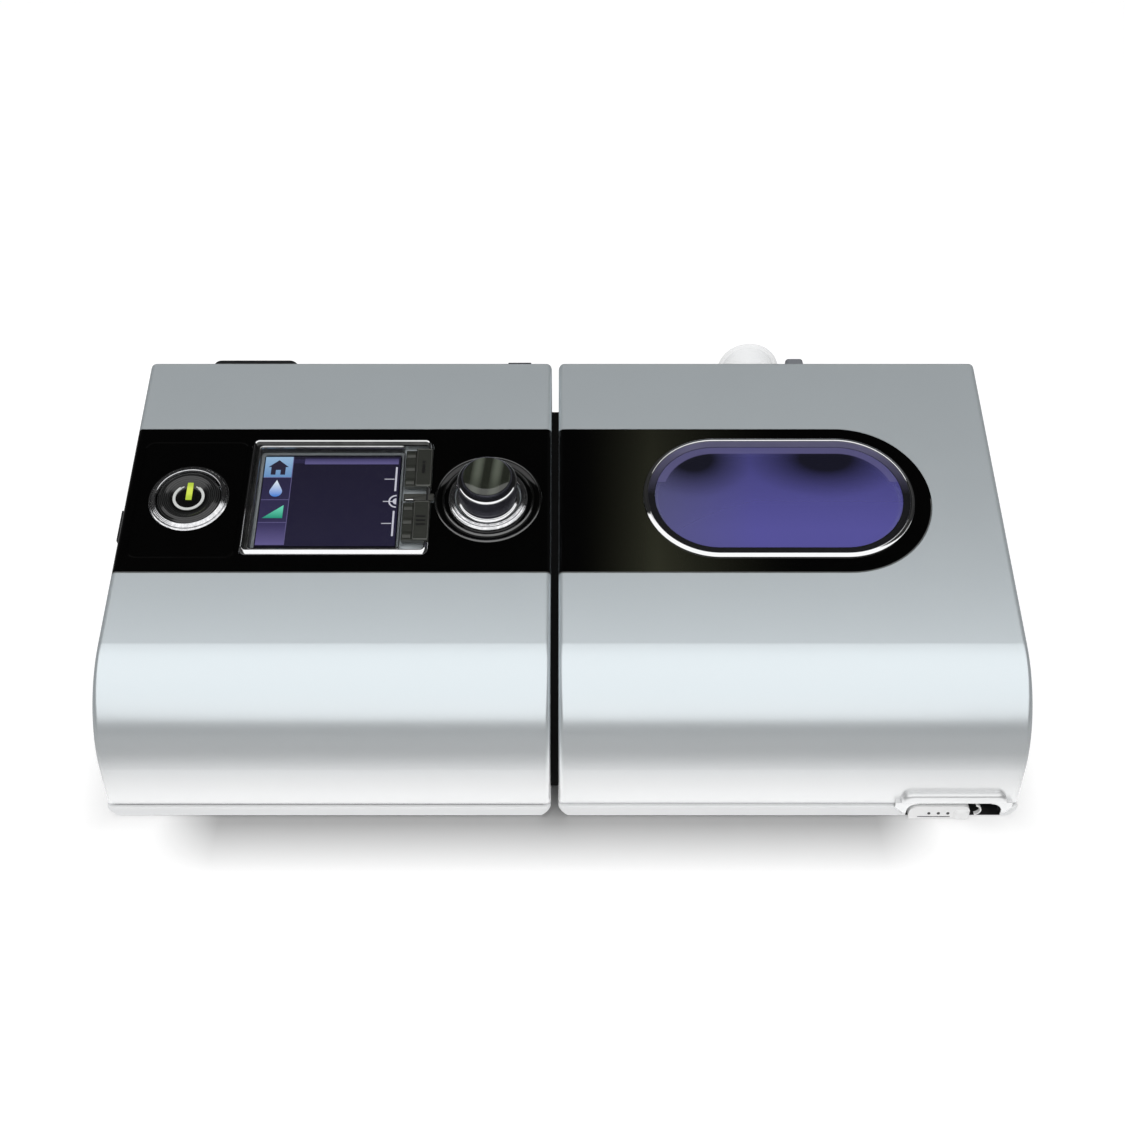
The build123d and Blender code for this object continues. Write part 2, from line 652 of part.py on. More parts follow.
encoder_x = (dial_place[0] - encoder_half, dial_place[0] + encoder_half)
encoder_t = (dial_t - encoder_half, dial_t + encoder_half)
dial_encoder = panel_box(*encoder_x, *encoder_t, -board_depth, -wall - 0.6)
dial_encoder -= panel_rod(*dial_place, shaft_radius + 1.1, -board_depth + 0.6, 0)

# ---- boards, switches, ribbon, memory card ----
control_board = panel_box(left_x + board_x[0], left_x + board_x[1], *board_t, board_low, -board_depth)
for x, t in control_posts:
    control_board -= panel_rod(x, t, control_screw_radius + run_fit, board_low - 1, -board_depth + 1)
ribbon_x = from_edge(left_x, ribbon_span)
socket_low = board_low - ribbon_socket_high
board_parts = [control_board, panel_box(*ribbon_x, ribbon_t - 2, ribbon_t + 2, socket_low, board_low)]
key_centre = left_x + sum(key_x) / 2
switch_places = [start_place, (key_centre, sum(upper_key_t) / 2), (key_centre, sum(lower_key_t) / 2)]
for x, t in switch_places:
    switch_x, switch_t = (x - switch_half, x + switch_half), (t - switch_half, t + switch_half)
    board_parts.append(panel_box(*switch_x, *switch_t, -board_depth, switch_top - 0.5) +
                       panel_rod(x, t, switch_half / 2, switch_top - 0.5, switch_top))

main_board_x = from_edge(left_x, main_board_span)
main_board = [box_at(*main_board_x, *main_board_y, main_board_z, main_board_z + board_thick)]
board_top = main_board_z + board_thick
main_board.append(box_at(*ribbon_x, *main_socket_y, board_top, board_top + main_socket_high))
main_board.append(box_at(left_x + 12, left_x + 28, -30.0, -14.0, board_top, board_top + 2.2))
main_board.append(box_at(left_x + 12, left_x + 24, -6.0, 4.0, board_top, board_top + 8.0))
for step in range(3):
    main_board.append(rod_z(board_top, board_top + 14.0, left_x + 16 + 9 * step, -46.0, 4.0))
main_board = Compound(children=main_board)
ribbon_y = sum(main_socket_y) / 2
ribbon_z = board_top + main_socket_high
ribbon_points = [at_depth(ribbon_t, socket_low), at_depth(ribbon_t, socket_low - 4),
                 (-17.5, 39.5), (-24.5, 32.5), (-31.5, 27.0), (ribbon_y + 1.2, ribbon_z + 8.0),
                 (ribbon_y, ribbon_z + 4.0), (ribbon_y, ribbon_z)]
ribbon_strip = extrude(Plane.YZ * strip_face(ribbon_points, ribbon_thick), ribbon_x[1] - ribbon_x[0] - 1)
ribbon_cable = Pos(ribbon_x[0] + 0.5, 0, 0) * ribbon_strip

card_x = (left_x + 2.2, left_x + 2.2 + card_size[0])
card_span = (card_t - card_size[1] / 2, card_t + card_size[1] / 2)
sd_card = panel_box(*card_x, *card_span, -card_depth, -card_depth + card_size[2])
sd_card -= panel_box(card_x[1] - card_notch[0], card_x[1] + 1, card_span[1] - card_notch[1], card_span[1] + 1,
                     -card_depth - 1, 0)
sd_socket = panel_box(left_x + 4.2, card_x[1] + 2.4, *grown(card_span, 1.6), -card_depth - 0.6, board_low)
sd_socket -= panel_box(left_x, card_x[1] + 1.4, *grown(card_span, 0.2), -card_depth - 0.12, board_low - 0.15)
control_board = Compound(children=[*board_parts, dial_encoder, sd_socket])
cover_low, cover_high = -cover_deep, -wall - cover_gap
sd_cover = panel_box(left_x, left_x + cover_thick, *grown(cover_t, -cover_gap), cover_low, cover_high)
sd_cover = chamfer(sd_cover.faces().sort_by(Axis.X)[0].edges(), 0.4)
sd_cover += panel_box(left_x - card_lip, left_x + 1, card_t - 6, card_t + 6, -wall - 1.8, -wall - 0.25)
sd_cover += panel * Pos(cover_pivot_x, -(cover_t[0] - 1.2), cover_pivot_n) * Rot(90, 0, 0) * \
    Cylinder(cover_pin_radius, cover_t[1] - cover_t[0] + 2.4, align=from_base)

# ---- rear: filter, its cover, power inlet and clip ----
cover_span = from_edge(left_x, filter_x)
filter_cover = box_at(*cover_span, back_y, back_y + filter_stands, *filter_z)
filter_cover = fillet(filter_cover.edges().filter_by(Axis.Y), 3.0)
filter_cover = fillet(filter_cover.faces().sort_by(Axis.Y)[-1].edges(), 1.2)
filter_cover -= box_at(*grown(cover_span, -2.2), back_y - 1, back_y + filter_stands - 1.6,
                       filter_z[0] + 2.2, filter_z[1] - 2.2)
for step in range(6):
    slot_z = filter_z[0] + 8 + 5.0 * step
    filter_cover -= box_at(*grown(cover_span, -5.5), back_y + 1, back_y + 9, slot_z, slot_z + 1.8)
filter_cover += box_at(cover_span[0] + 10, cover_span[1] - 10, back_y - 2.4, back_y + 1,
                       filter_hole_z[0] + 0.15, filter_hole_z[0] + 1.15)
filter_cover += box_at(cover_span[0] + 10, cover_span[1] - 10, back_y + 0.2, back_y + 1,
                       filter_hole_z[0] + 0.15, filter_hole_z[0] + 3)
foam_back = back_y - 6.0
air_filter = box_at(*grown(filter_hole_x, -0.3), foam_back, back_y - 0.3, filter_hole_z[0] + 1.7,
                    filter_hole_z[1] - 0.3)
muffler_foam = box_at(left_x + 16, left_x + 52, port_y + 2, foam_back, tray_bottom + tray_floor, 60.0)
muffler_foam -= rod_y(port_y - 5, foam_back + 1, left_x + 36, 47.0, 9.0)

inlet_place = dock_x - inlet_inset
half_bracket = bracket_width / 2
plate_out = back_y + bracket_thick
bracket_x = (inlet_place - half_bracket, inlet_place + half_bracket)
arch_z = top_z - arch_drop
power_inlet = box_at(*grown(bracket_x, 2), back_y, plate_out, *bracket_z)
power_inlet = fillet(power_inlet.edges().filter_by(Axis.Y), 2.5)
power_inlet += box_at(*bracket_x, back_y, plate_out, bracket_z[1] - 2, arch_z)
power_inlet += rod_x(*bracket_x, back_y + 1, arch_z, arch_radius) & \
    box_at(*bracket_x, back_y, far, arch_z - 0.2, far)
clip_y, clip_z = back_y + clip_reach, top_z - clip_drop
for side in (-1, 1):
    ear_x = sorted((inlet_place + side * half_bracket, inlet_place + side * (half_bracket - 1.6)))
    power_inlet += box_at(*ear_x, back_y, clip_y, clip_z - 1.5, clip_z + 1.5)
    power_inlet += rod_x(*ear_x, clip_y, clip_z, 1.5)
power_inlet += rod_x(*bracket_x, clip_y, clip_z, clip_pin_radius)
power_inlet += rod_y(back_y - 13, plate_out, inlet_place, inlet_z, jack_radius)
power_inlet -= rod_y(back_y - 9, back_y + 5, inlet_place, inlet_z, jack_bore)
clip_half = half_bracket - 1.8
clip_x = (inlet_place - clip_half, inlet_place + clip_half)
clip_low = inlet_z + jack_radius
power_clip = rod_x(*clip_x, clip_y, clip_z, 1.4)
power_clip += box_at(*clip_x, clip_y - 0.6, clip_y + 0.8, clip_low, clip_z)
power_clip += box_at(*clip_x, clip_y - 0.6, clip_y + 2.0, clip_low, clip_low + 1.4)
power_clip -= rod_x(*grown(clip_x, 1), clip_y, clip_z, clip_pin_radius + run_fit)

# ---- blower ----
fan_x = left_x + blower_x
fan_y = port_y - (blower_radius - blower_wall - duct_bore)
fan_low, fan_split, fan_top = blower_z
volute_exit = fan_x + blower_radius + sleeve_reach
volute = rod_z(fan_low, fan_top, fan_x, fan_y, blower_radius)
volute += rod_x(fan_x, volute_exit, port_y, fan_split, duct_bore + 1.3)
volute -= rod_z(fan_low + blower_wall, fan_top - blower_wall, fan_x, fan_y, blower_radius - blower_wall)
volute -= rod_x(fan_x, volute_exit + 1, port_y, fan_split, duct_bore)
blower_lower = volute & box_at(-far, far, -far, far, 0, fan_split)
blower_upper = volute & box_at(-far, far, -far, far, fan_split, far)
blower_upper -= rod_z(fan_top - 5, fan_top + 1, fan_x, fan_y, eye_radius)
blower_upper += rod_z(fan_top, fan_top + 3, fan_x, fan_y, eye_radius + 2) - \
    rod_z(fan_top - 1, fan_top + 4, fan_x, fan_y, eye_radius)
motor_floor = fan_low + blower_wall
bearing_tube_top = motor_floor + bearing_tube_high
blower_lower += rod_z(motor_floor, bearing_tube_top, fan_x, fan_y, bearing_tube) - \
    rod_z(motor_floor, bearing_tube_top + 1, fan_x, fan_y, bearing_radius + run_fit)
stator_top = motor_floor + stator_high
motor_stator = rod_z(motor_floor, stator_top, fan_x, fan_y, stator_radius) - \
    rod_z(motor_floor - 1, stator_top + 1, fan_x, fan_y, bearing_tube + 0.1)
for step in range(stator_slots):
    slot = box_at(stator_radius * 0.7, stator_radius + 1, -1.2, 1.2, motor_floor - 1, stator_top + 1)
    motor_stator -= Pos(fan_x, fan_y, 0) * Rot(0, 0, 360 / stator_slots * step) * slot
shaft_fit = motor_shaft_radius + 0.02
bearing_lows = (motor_floor + 0.6, bearing_tube_top - bearing_high - 0.4)
motor_bearings = Compound(children=[
    rod_z(z, z + bearing_high, fan_x, fan_y, bearing_radius) -
    rod_z(z - 1, z + bearing_high + 1, fan_x, fan_y, shaft_fit)
    for z in bearing_lows])
motor_shaft = rod_z(motor_floor + 0.4, fan_top - 4.5, fan_x, fan_y, motor_shaft_radius)
wheel_z = bearing_tube_top + 1.0
impeller = rod_z(wheel_z, wheel_z + 1.4, fan_x, fan_y, impeller_radius)
impeller += rod_z(wheel_z, fan_top - 4.0, fan_x, fan_y, 4.5)
for step in range(blades):
    blade = box_at(0, impeller_radius - 5.5, -0.5, 0.5, wheel_z + 1, fan_top - blower_wall - 1.0)
    impeller += Pos(fan_x, fan_y, 0) * Rot(0, 0, 360 / blades * step) * Pos(6, 0, 0) * Rot(0, 0, -32) * blade
impeller -= rod_z(wheel_z - 1, fan_top, fan_x, fan_y, shaft_fit)
blower_mount = rod_z(tray_bottom + tray_floor, fan_low, fan_x, fan_y, mount_radius) - \
    rod_z(0, fan_low + 1, fan_x, fan_y, mount_bore)
for step in range(2):
    groove_z = tray_bottom + tray_floor + 1.6 + 2.6 * step
    blower_mount -= rod_z(groove_z, groove_z + 1.2, fan_x, fan_y, mount_radius + 1) - \
        rod_z(groove_z - 1, groove_z + 3, fan_x, fan_y, mount_radius - 1.6)

duct_start = fan_x + blower_radius + 0.3
bend_x = volute_exit + press_gap + (duct_bend + duct_straight) * tan(duct_turn / 2)
rise_x = bend_x + (port_z - fan_split) / tan(duct_turn)


def duct_sweep(radius, extra=0.0):
    """A tube's solid along the duct's rise, its ends moved out by extra."""
    points = [(duct_start - extra, port_y, fan_split), (bend_x, port_y, fan_split),
              (rise_x, port_y, port_z), (duct_end + extra, port_y, port_z)]
    path = FilletPolyline(*points, radius=duct_bend)
    return sweep(Plane(origin=points[0], z_dir=(1, 0, 0)) * Circle(radius), path=path)


outlet_duct = duct_sweep(duct_outside) - duct_sweep(duct_bore + duct_loose, 1.0)
outlet_duct += rod_x(duct_end - 1.2, duct_end, port_y, port_z, duct_bore + 2.2)
outlet_duct -= rod_x(duct_end - 2, duct_end + 1, port_y, port_z, spigot_radius + 0.25)

# ---- humidifier: lid ----
lid_floor = parting_z + lid_seam
lid_block = unit_block(hum_x, right_x, lid_floor)
lid_inside = side_prism(hum_x + wall, right_x - wall, wall, lid_floor - 1, back_y - wall)
lid_shell = lid_block - lid_inside
lid_shell -= side_prism(hum_x - 1, hum_x + wall + 1, rim, lid_floor - 1, back_y + 1)
lid_shell -= box_at(hum_x - 1, right_x + 1, back_y - wall - 0.3, back_y + 1, 0, skirt_z)
band_centre = (hum_x + band_arc_x, (band_start + band_end) / 2)
band_radius = (band_end - band_start) / 2


def lid_band(n0, gap=0.0):
    strip = panel_box(hum_x - 5, band_centre[0], band_start + gap, band_end - gap, n0, 5)
    return strip + panel_rod(*band_centre, band_radius - gap, n0, 5)


lid_shell -= lid_band(-fascia_thick)
ring_span = from_edge(hum_x, ring_x)
glass_span = grown(ring_span, -ring_width)
glass_t = grown(ring_t, -ring_width)
lid_shell -= panel_slot(grown(glass_span, -1.2), grown(glass_t, -1.2), -wall - 1, 2)
lid_fascia = lid_block & lid_band(-fascia_thick, seam)
lid_fascia -= panel_slot(grown(ring_span, 0.1), grown(ring_t, 0.1), -wall, 2)
window_ring = panel_slot(ring_span, ring_t, -fascia_thick, ring_high)
window_ring = fillet(window_ring.faces().sort_by(Axis.Z)[-1].edges(), 0.9)
window_ring -= panel_slot(glass_span, glass_t, -wall, 3)
window_ring -= panel_slot(grown(glass_span, 0.7), grown(glass_t, 0.7), ring_high - 0.5, 3)
window_lens = panel_slot(grown(glass_span, -0.1), grown(glass_t, -0.1), -fascia_thick, 0.25)
lid_liner = panel_plate(from_edge(hum_x, (10.0, 135.0)), (22.0, 100.0), 8.0, -wall - 2.2, -wall)
lid_liner -= panel_slot(grown(glass_span, 1.0), grown(glass_t, 1.0), -wall - 3, 0)

hood = box_at(*hood_span, hood_front, front_line(hood_z[1]) + 1.2, *hood_z)
hood = fillet(hood.edges().filter_by(Axis.Y).group_by(Axis.Z)[-1], 3.6)
hood = fillet(hood.faces().sort_by(Axis.Y)[0].edges(), 1.1)
lid_shell += hood
lid_shell -= box_at(*latch_span, -far, latch_pocket_back + 4.3, 0, hood_z[0])
for side in (0, 1):
    lid_shell += leg(side)

arm_from, arm_to, knuckle_from, knuckle_to = knuckle_x
arm_spans = [(hum_x + arm_from, hum_x + arm_to), (right_x - arm_to, right_x - arm_from)]
knuckle_spans = [(hum_x + knuckle_from, hum_x + knuckle_to), (right_x - knuckle_to, right_x - knuckle_from)]
for span in knuckle_spans:
    lid_shell += rod_x(*span, hinge_y, hinge_z, hinge_radius + 0.1)
for span in arm_spans:
    wide = grown(span, 0.3)
    lid_shell -= rod_x(*wide, hinge_y, hinge_z, hinge_radius + 0.4)
    lid_shell -= box_at(*wide, hinge_y - hinge_radius - 0.4, back_y + 1, skirt_z - 2, hinge_z)
pin_spans = [(hum_x + arm_from, hum_x + knuckle_to), (right_x - knuckle_to, right_x - arm_from)]
for span in pin_spans:
    lid_shell -= rod_x(*grown(span, 0.5), hinge_y, hinge_z, pin_radius + run_fit)
lid_pins = Compound(children=[rod_x(*span, hinge_y, hinge_z, pin_radius) for span in pin_spans])

# ---- humidifier: chassis ----
hum_chassis = side_prism(hum_x + wall + 0.6, right_x - wall - 0.4, wall + 0.5, parting_z, back_y - wall) & \
    box_at(-far, far, -far, far, 0, deck_top)
hum_chassis -= box_at(hood_span[0] - 1, hood_span[1] + 5, -far, latch_pocket_back + 3.3, 0, deck_top + 1)
well_x = grown(from_edge(hum_x, tub_x), tub_room)
well_y = (nose_y + tub_inset - tub_room, tub_back + tub_room)
well = box_at(*grown(well_x, well_wall), *grown(well_y, well_wall), deck_top - 1, well_top)
hum_chassis += well - box_at(*well_x, *well_y, 0, well_top + 1)
back_wall = box_at(hum_x, right_x, back_y - wall, back_y, parting_z, back_top)
back_wall = fillet(back_wall.edges().filter_by(Axis.Z).group_by(Axis.Y)[-1], edge_round)
hum_chassis += back_wall
post = box_at(hum_x, hum_x + wall, dock_opening_rear + 0.5, back_y - wall + 1, parting_z, far) & \
    side_prism(hum_x - 1, hum_x + wall + 1, rim + 0.5, parting_z, back_y - 1)
hum_chassis += post & box_at(-far, far, -far, far, 0, back_top)
arm_front, arm_back = hinge_y - 6.2, hinge_y - 2.5
arm_root = (hinge_z - 19.2, hinge_z - 13.2)
arm_outline = [(hinge_y - 2.4, hinge_z), (hinge_y - 2.8, hinge_z - 1.6), (arm_front, hinge_z - 4.8),
               (arm_front, arm_root[0]), (back_y - wall + 0.5, arm_root[0]),
               (back_y - wall + 0.5, arm_root[1]),
               (arm_back, arm_root[1]), (arm_back, hinge_z - 6.2), (hinge_y - 0.9, hinge_z - 2.2)]
for span in arm_spans:
    arm = extrude(Plane.YZ * make_face(Polyline(*arm_outline, close=True)), span[1] - span[0])
    arm = Pos(span[0], 0, 0) * arm + rod_x(*span, hinge_y, hinge_z, hinge_radius)
    hum_chassis += arm - rod_x(*grown(span, 1), hinge_y, hinge_z, pin_radius + run_fit)
hum_chassis -= rod_y(back_y - wall - 1, back_y + 1, hum_x + outlet_x, throat_z, throat_radius + 0.3)
plate_span = from_edge(hum_x, plate_x)
hum_chassis -= box_at(*grown(plate_span, -3), *grown(plate_y, -3), 0, deck_top + 1)
for x, y in humidifier_bosses:
    hum_chassis += rod_z(parting_z, hum_boss_top, x, y, boss_radius)
for x, y in humidifier_bosses:
    hum_chassis -= screw_cuts(x, y)[1]
hum_screws = Compound(children=[case_screw(x, y) for x, y in humidifier_bosses])

heater_plate = box_at(*plate_span, *plate_y, deck_top, tub_z[0] - 0.2)
heater_plate = fillet(heater_plate.edges().filter_by(Axis.Z), plate_corner)
element_z = (deck_top - element_thick, deck_top)
element_y = grown(plate_y, -10)
heater_element = box_at(plate_span[0] + 5, plate_span[0] + 8, *element_y, *element_z)
run_pitch = (element_y[1] - element_y[0] - 4) / (element_runs - 1)
for step in range(element_runs):
    run_y = element_y[0] + 2 + run_pitch * step
    heater_element += box_at(*grown(plate_span, -8), run_y - 2, run_y + 2, *element_z)

hum_dock_panel = side_prism(hum_x + 0.6, hum_x + wall + 0.2, rim + 0.4, parting_z + 0.1, dock_opening_rear)
rib_span = (dock_x - 0.6 + rib_room, hum_x + 1)
rib_low, rib_rear = parting_z + rib_inset - rim, dock_opening_rear - rib_inset + rim
rib = side_prism(*rib_span, rib_inset, rib_low, rib_rear)
rib -= side_prism(*grown(rib_span, 1), rib_inset + rib_width, rib_low + rib_width, rib_rear - rib_width)
hum_dock_panel += rib
spigot_start = dock_x - spigot_deep
hum_dock_panel += rod_x(spigot_start, hum_x + 1, port_y, port_z, spigot_radius)
hum_dock_panel -= rod_x(spigot_start - 1, hum_x + 6, port_y, port_z, spigot_radius - 1.5)
for y, z in prong_places:
    hum_dock_panel += prong(y, z)
hum_dock_panel += plug(dock_x - plug_size[2], hum_x + 1, 0)
hum_board = box_at(hum_x + 6.5, hum_x + 8.1, -50.0, 4.0, deck_top, 36.0)
inlet_duct = rod_x(hum_x + wall + 0.2, hum_x + tub_x[0] - 0.2, port_y, port_z, spigot_radius + 1.5) - \
    rod_x(hum_x, hum_x + tub_x[0] + 1, port_y, port_z, spigot_radius - 0.6)

# ---- humidifier: tub ----
tub_span = from_edge(hum_x, tub_x)


def tub_body(x_span, back, inset, z0, z1, corner):
    """A tub-shaped block: the unit's own profile moved in, cut to a rounded box."""
    block = box_at(*x_span, nose_y, back, z0, z1)
    upright = [e for e in block.edges().filter_by(Axis.Z) if e.center().Y > 0]
    block = fillet(upright, corner)
    return block & side_prism(x_span[0] - 1, x_span[1] + 1, inset, z0 - 1, back + 1)


tub_top = tub_z[1]
water_tub = tub_body(tub_span, tub_back, tub_inset, *tub_z, tub_corner)
water_tub -= tub_body(grown(tub_span, -tub_wall), tub_back - tub_wall, tub_inset + tub_wall,
                      tub_z[0] + tub_wall, tub_top + 5, tub_corner - tub_wall)
tub_seal = tub_body(tub_span, tub_back, tub_inset, tub_top, tub_top + seal_thick, tub_corner)
tub_seal -= tub_body(grown(tub_span, -tub_wall), tub_back - tub_wall, tub_inset + tub_wall,
                     tub_top - 1, tub_top + seal_thick + 1, tub_corner - tub_wall)
lid_low = tub_top + seal_thick
tub_lid = tub_body(tub_span, tub_back, tub_lid_inset, lid_low, top_z, tub_corner)
tub_lid -= tub_body(grown(tub_span, -tub_wall), tub_back - tub_wall, tub_lid_inset + tub_wall,
                    lid_low - 1, top_z, tub_corner - tub_wall)
tub_lid -= rod_x(tub_span[0] - 1, tub_span[0] + 5, port_y, port_z, spigot_radius)
vent_x = (hum_x + outlet_x - vent_half, hum_x + outlet_x + vent_half)
tub_lid -= box_at(*vent_x, tub_back - 5, tub_back + 1, *vent_z)

duct_x = grown(vent_x, 4)
duct_inset = wall + 2.5
duct_floor = vent_z[0] - 6
hum_outlet_duct = box_at(*duct_x, tub_back + 0.3, back_y - wall, duct_floor, back_top - 0.2) & \
    side_prism(duct_x[0] - 1, duct_x[1] + 1, duct_inset, 0, back_y - 1)
duct_hollow = box_at(*grown(duct_x, -vent_duct_wall), tub_back + 0.3 + vent_duct_wall,
                     back_y - wall - vent_duct_wall, duct_floor + vent_duct_wall,
                     back_top - 0.2 - vent_duct_wall)
duct_inside = side_prism(duct_x[0] - 1, duct_x[1] + 1, duct_inset + vent_duct_wall, 0, back_y - 1)
hum_outlet_duct -= duct_hollow & duct_inside
hum_outlet_duct -= box_at(*vent_x, tub_back - 1, tub_back + 4, *vent_z)
hum_outlet_duct -= rod_y(back_y - wall - 4, back_y, hum_x + outlet_x, throat_z, throat_radius - 0.9)

# ---- humidifier: rear ----
socket_y = back_y + 1.8
outlet_place = hum_x + outlet_x
air_outlet = box_at(outlet_place - 13, outlet_place + 10, back_y, socket_y, 57.5, back_top - 0.3)
air_outlet = fillet(air_outlet.edges().filter_by(Axis.Y), 2.0)
air_outlet += rod_y(socket_y, outlet_tip, outlet_place, outlet_z, outlet_radius)
air_outlet += rod_y(back_y - wall + 0.1, back_y + 1, outlet_place, throat_z, throat_radius)
air_outlet -= rod_y(socket_y + 1.8, outlet_tip + 1, outlet_place, outlet_z, outlet_radius - outlet_wall)
air_outlet -= rod_y(back_y - wall - 1, outlet_tip, outlet_place, throat_z, throat_radius - 1.2)
connector_left = outlet_place + outlet_radius + connector_room
connector_span = (connector_left, connector_left + connector_width)
connector_top = top_z - connector_drop
tube_connector = box_at(connector_span[0], connector_span[1] + 1, back_y, back_y + 2.2, 62.0, back_top - 0.3)
tube_connector += box_at(*connector_span, back_y + 2, back_y + 10.5, 66.0, connector_top)
long_edges = [e for e in tube_connector.edges().filter_by(Axis.Y) if e.center().Y > back_y + 4]
tube_connector = fillet(long_edges, 1.2)
tube_connector -= box_at(*grown(connector_span, -1.4), back_y + 4, back_y + 11, 68.0, connector_top - 4.5)

# ---- latch ----
latch_back = latch_pocket_back - 0.2
latch_slider = box_at(hum_x + latch_x[0], hum_x + latch_x[1], latch_front, latch_back, *latch_z)
upper_ends = latch_slider.edges().filter_by(Axis.Y).group_by(Axis.Z)[-1].sort_by(Axis.X)
latch_slider = fillet(upper_ends[0], leg_arch[1] - 0.1)
upper_right = latch_slider.edges().filter_by(Axis.Y).group_by(Axis.Z)[-1].sort_by(Axis.X)[-1]
latch_slider = fillet(upper_right, latch_round)
tray_front = front_line(parting_z) - tray_proud
apron = box_at(hum_x + latch_x[0] + 0.3, hum_x + latch_x[1], latch_front, tray_front - 0.2,
               tab_z[0], latch_z[0] + 1)
tab = box_at(hum_x + latch_x[1] - tab_width, hum_x + latch_x[1], tab_front, tray_front - 0.2, *tab_z)
tab = fillet(tab.edges().filter_by(Axis.Y), 1.5)
tab = fillet(tab.faces().sort_by(Axis.Y)[0].edges(), 1.0)
latch_slider += apron + tab
spring_y = latch_back - 1.6
spring_z = sum(latch_z) / 2
spring_span = (hum_x + latch_x[1] + 0.05, hum_x + latch_slot[1] - 0.05)
spring_pitch = (spring_span[1] - spring_span[0] - 2 * spring_wire) / spring_coils
spring_path = Helix(pitch=spring_pitch, height=spring_pitch * spring_coils, radius=spring_radius)
spring_section = Plane(origin=spring_path @ 0, z_dir=spring_path % 0) * Circle(spring_wire)
latch_spring = sweep(spring_section, path=spring_path)
latch_spring = Pos(spring_span[0] + spring_wire, spring_y, spring_z) * Rot(0, 90, 0) * latch_spring

nodes = {
    "fg_base_tray": fg_base_tray, "fg_feet": fg_feet, "fg_upper_case": fg_upper_case, "fg_fascia": fg_fascia,
    "fg_dock_panel": fg_dock_panel, "fg_screws": fg_screws, "start_ring": start_ring,
    "start_button": start_button, "start_light_guide": start_light_guide, "screen_bezel": screen_bezel,
    "screen_lens": screen_lens, "lcd_module": lcd_module, "info_key": info_key, "setup_key": setup_key,
    "dial_ring": dial_ring, "dial_knob": dial_knob, "dial_cap": dial_cap, "dial_shaft": dial_shaft,
    "dial_plunger": dial_plunger, "control_board": control_board, "ribbon_cable": ribbon_cable,
    "main_board": main_board,
    "sd_card": sd_card, "sd_cover": sd_cover, "filter_cover": filter_cover,
    "air_filter": air_filter, "muffler_foam": muffler_foam, "power_inlet": power_inlet,
    "power_clip": power_clip, "blower_lower": blower_lower, "blower_upper": blower_upper,
    "impeller": impeller, "motor_shaft": motor_shaft, "motor_bearings": motor_bearings,
    "motor_stator": motor_stator, "blower_mount": blower_mount, "outlet_duct": outlet_duct,
    "hum_base_tray": hum_base_tray, "hum_feet": hum_feet,
    "hum_chassis": hum_chassis, "hum_screws": hum_screws, "hum_dock_panel": hum_dock_panel,
    "hum_board": hum_board, "inlet_duct": inlet_duct, "heater_plate": heater_plate,
    "heater_element": heater_element, "water_tub": water_tub, "tub_seal": tub_seal, "tub_lid": tub_lid,
    "hum_outlet_duct": hum_outlet_duct, "air_outlet": air_outlet, "tube_connector": tube_connector,
    "lid_shell": lid_shell, "lid_fascia": lid_fascia, "window_ring": window_ring,
    "window_lens": window_lens, "lid_liner": lid_liner, "lid_pins": lid_pins,
    "latch_slider": latch_slider, "latch_spring": latch_spring,
}
print(len(nodes), "nodes")

os.makedirs("parts", exist_ok=True)
for name, shape in nodes.items():
    export_step(shape, f"parts/{name}.step")
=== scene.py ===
import math

import bmesh
import bpy
from mathutils import Matrix, Vector


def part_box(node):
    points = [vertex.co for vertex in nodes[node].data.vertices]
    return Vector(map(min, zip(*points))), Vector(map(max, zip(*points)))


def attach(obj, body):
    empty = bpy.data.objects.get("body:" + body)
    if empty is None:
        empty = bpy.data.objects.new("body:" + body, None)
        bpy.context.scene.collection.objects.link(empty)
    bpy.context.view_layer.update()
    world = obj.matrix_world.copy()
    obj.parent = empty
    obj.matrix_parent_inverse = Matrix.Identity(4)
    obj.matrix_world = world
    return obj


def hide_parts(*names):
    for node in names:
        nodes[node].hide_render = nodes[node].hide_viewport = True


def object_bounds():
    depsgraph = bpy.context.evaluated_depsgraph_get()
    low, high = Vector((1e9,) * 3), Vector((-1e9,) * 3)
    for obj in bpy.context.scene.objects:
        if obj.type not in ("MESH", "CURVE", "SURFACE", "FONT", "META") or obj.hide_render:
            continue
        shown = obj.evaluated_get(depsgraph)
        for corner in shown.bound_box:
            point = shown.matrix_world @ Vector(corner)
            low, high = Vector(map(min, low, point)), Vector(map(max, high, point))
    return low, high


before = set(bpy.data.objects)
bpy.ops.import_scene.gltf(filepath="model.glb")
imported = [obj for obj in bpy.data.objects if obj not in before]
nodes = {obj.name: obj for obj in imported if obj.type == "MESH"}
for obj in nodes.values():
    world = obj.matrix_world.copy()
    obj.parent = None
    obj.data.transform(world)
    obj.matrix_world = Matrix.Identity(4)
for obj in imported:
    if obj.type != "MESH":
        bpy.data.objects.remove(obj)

# A breathing-therapy machine: the looks of its flow generator and its docked humidifier.
# Places on the sloping top are given in millimetres as x, t down the slope and n outwards.

mm = 0.001
scene = bpy.context.scene
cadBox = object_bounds()


def lowest(node):
    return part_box(node)[0] / mm


def highest(node):
    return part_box(node)[1] / mm


def middle(node):
    return (lowest(node) + highest(node)) / 2


# the sloping top
top = {"slope": 17.5, "backY": 57.0, "edgeZ": 86.655}
slope = math.radians(top["slope"])
downSlope = Vector((0, -math.cos(slope), -math.sin(slope)))
outwards = Vector((0, -math.sin(slope), math.cos(slope)))
topEdge = Vector((0, top["backY"], top["edgeZ"]))
generatorLeft = -143.1
humidifierLeft = lowest("lid_shell").x


def onTop(x, t, n=0.0):
    return mm * (topEdge + Vector((x, 0, 0)) + t * downSlope + n * outwards)


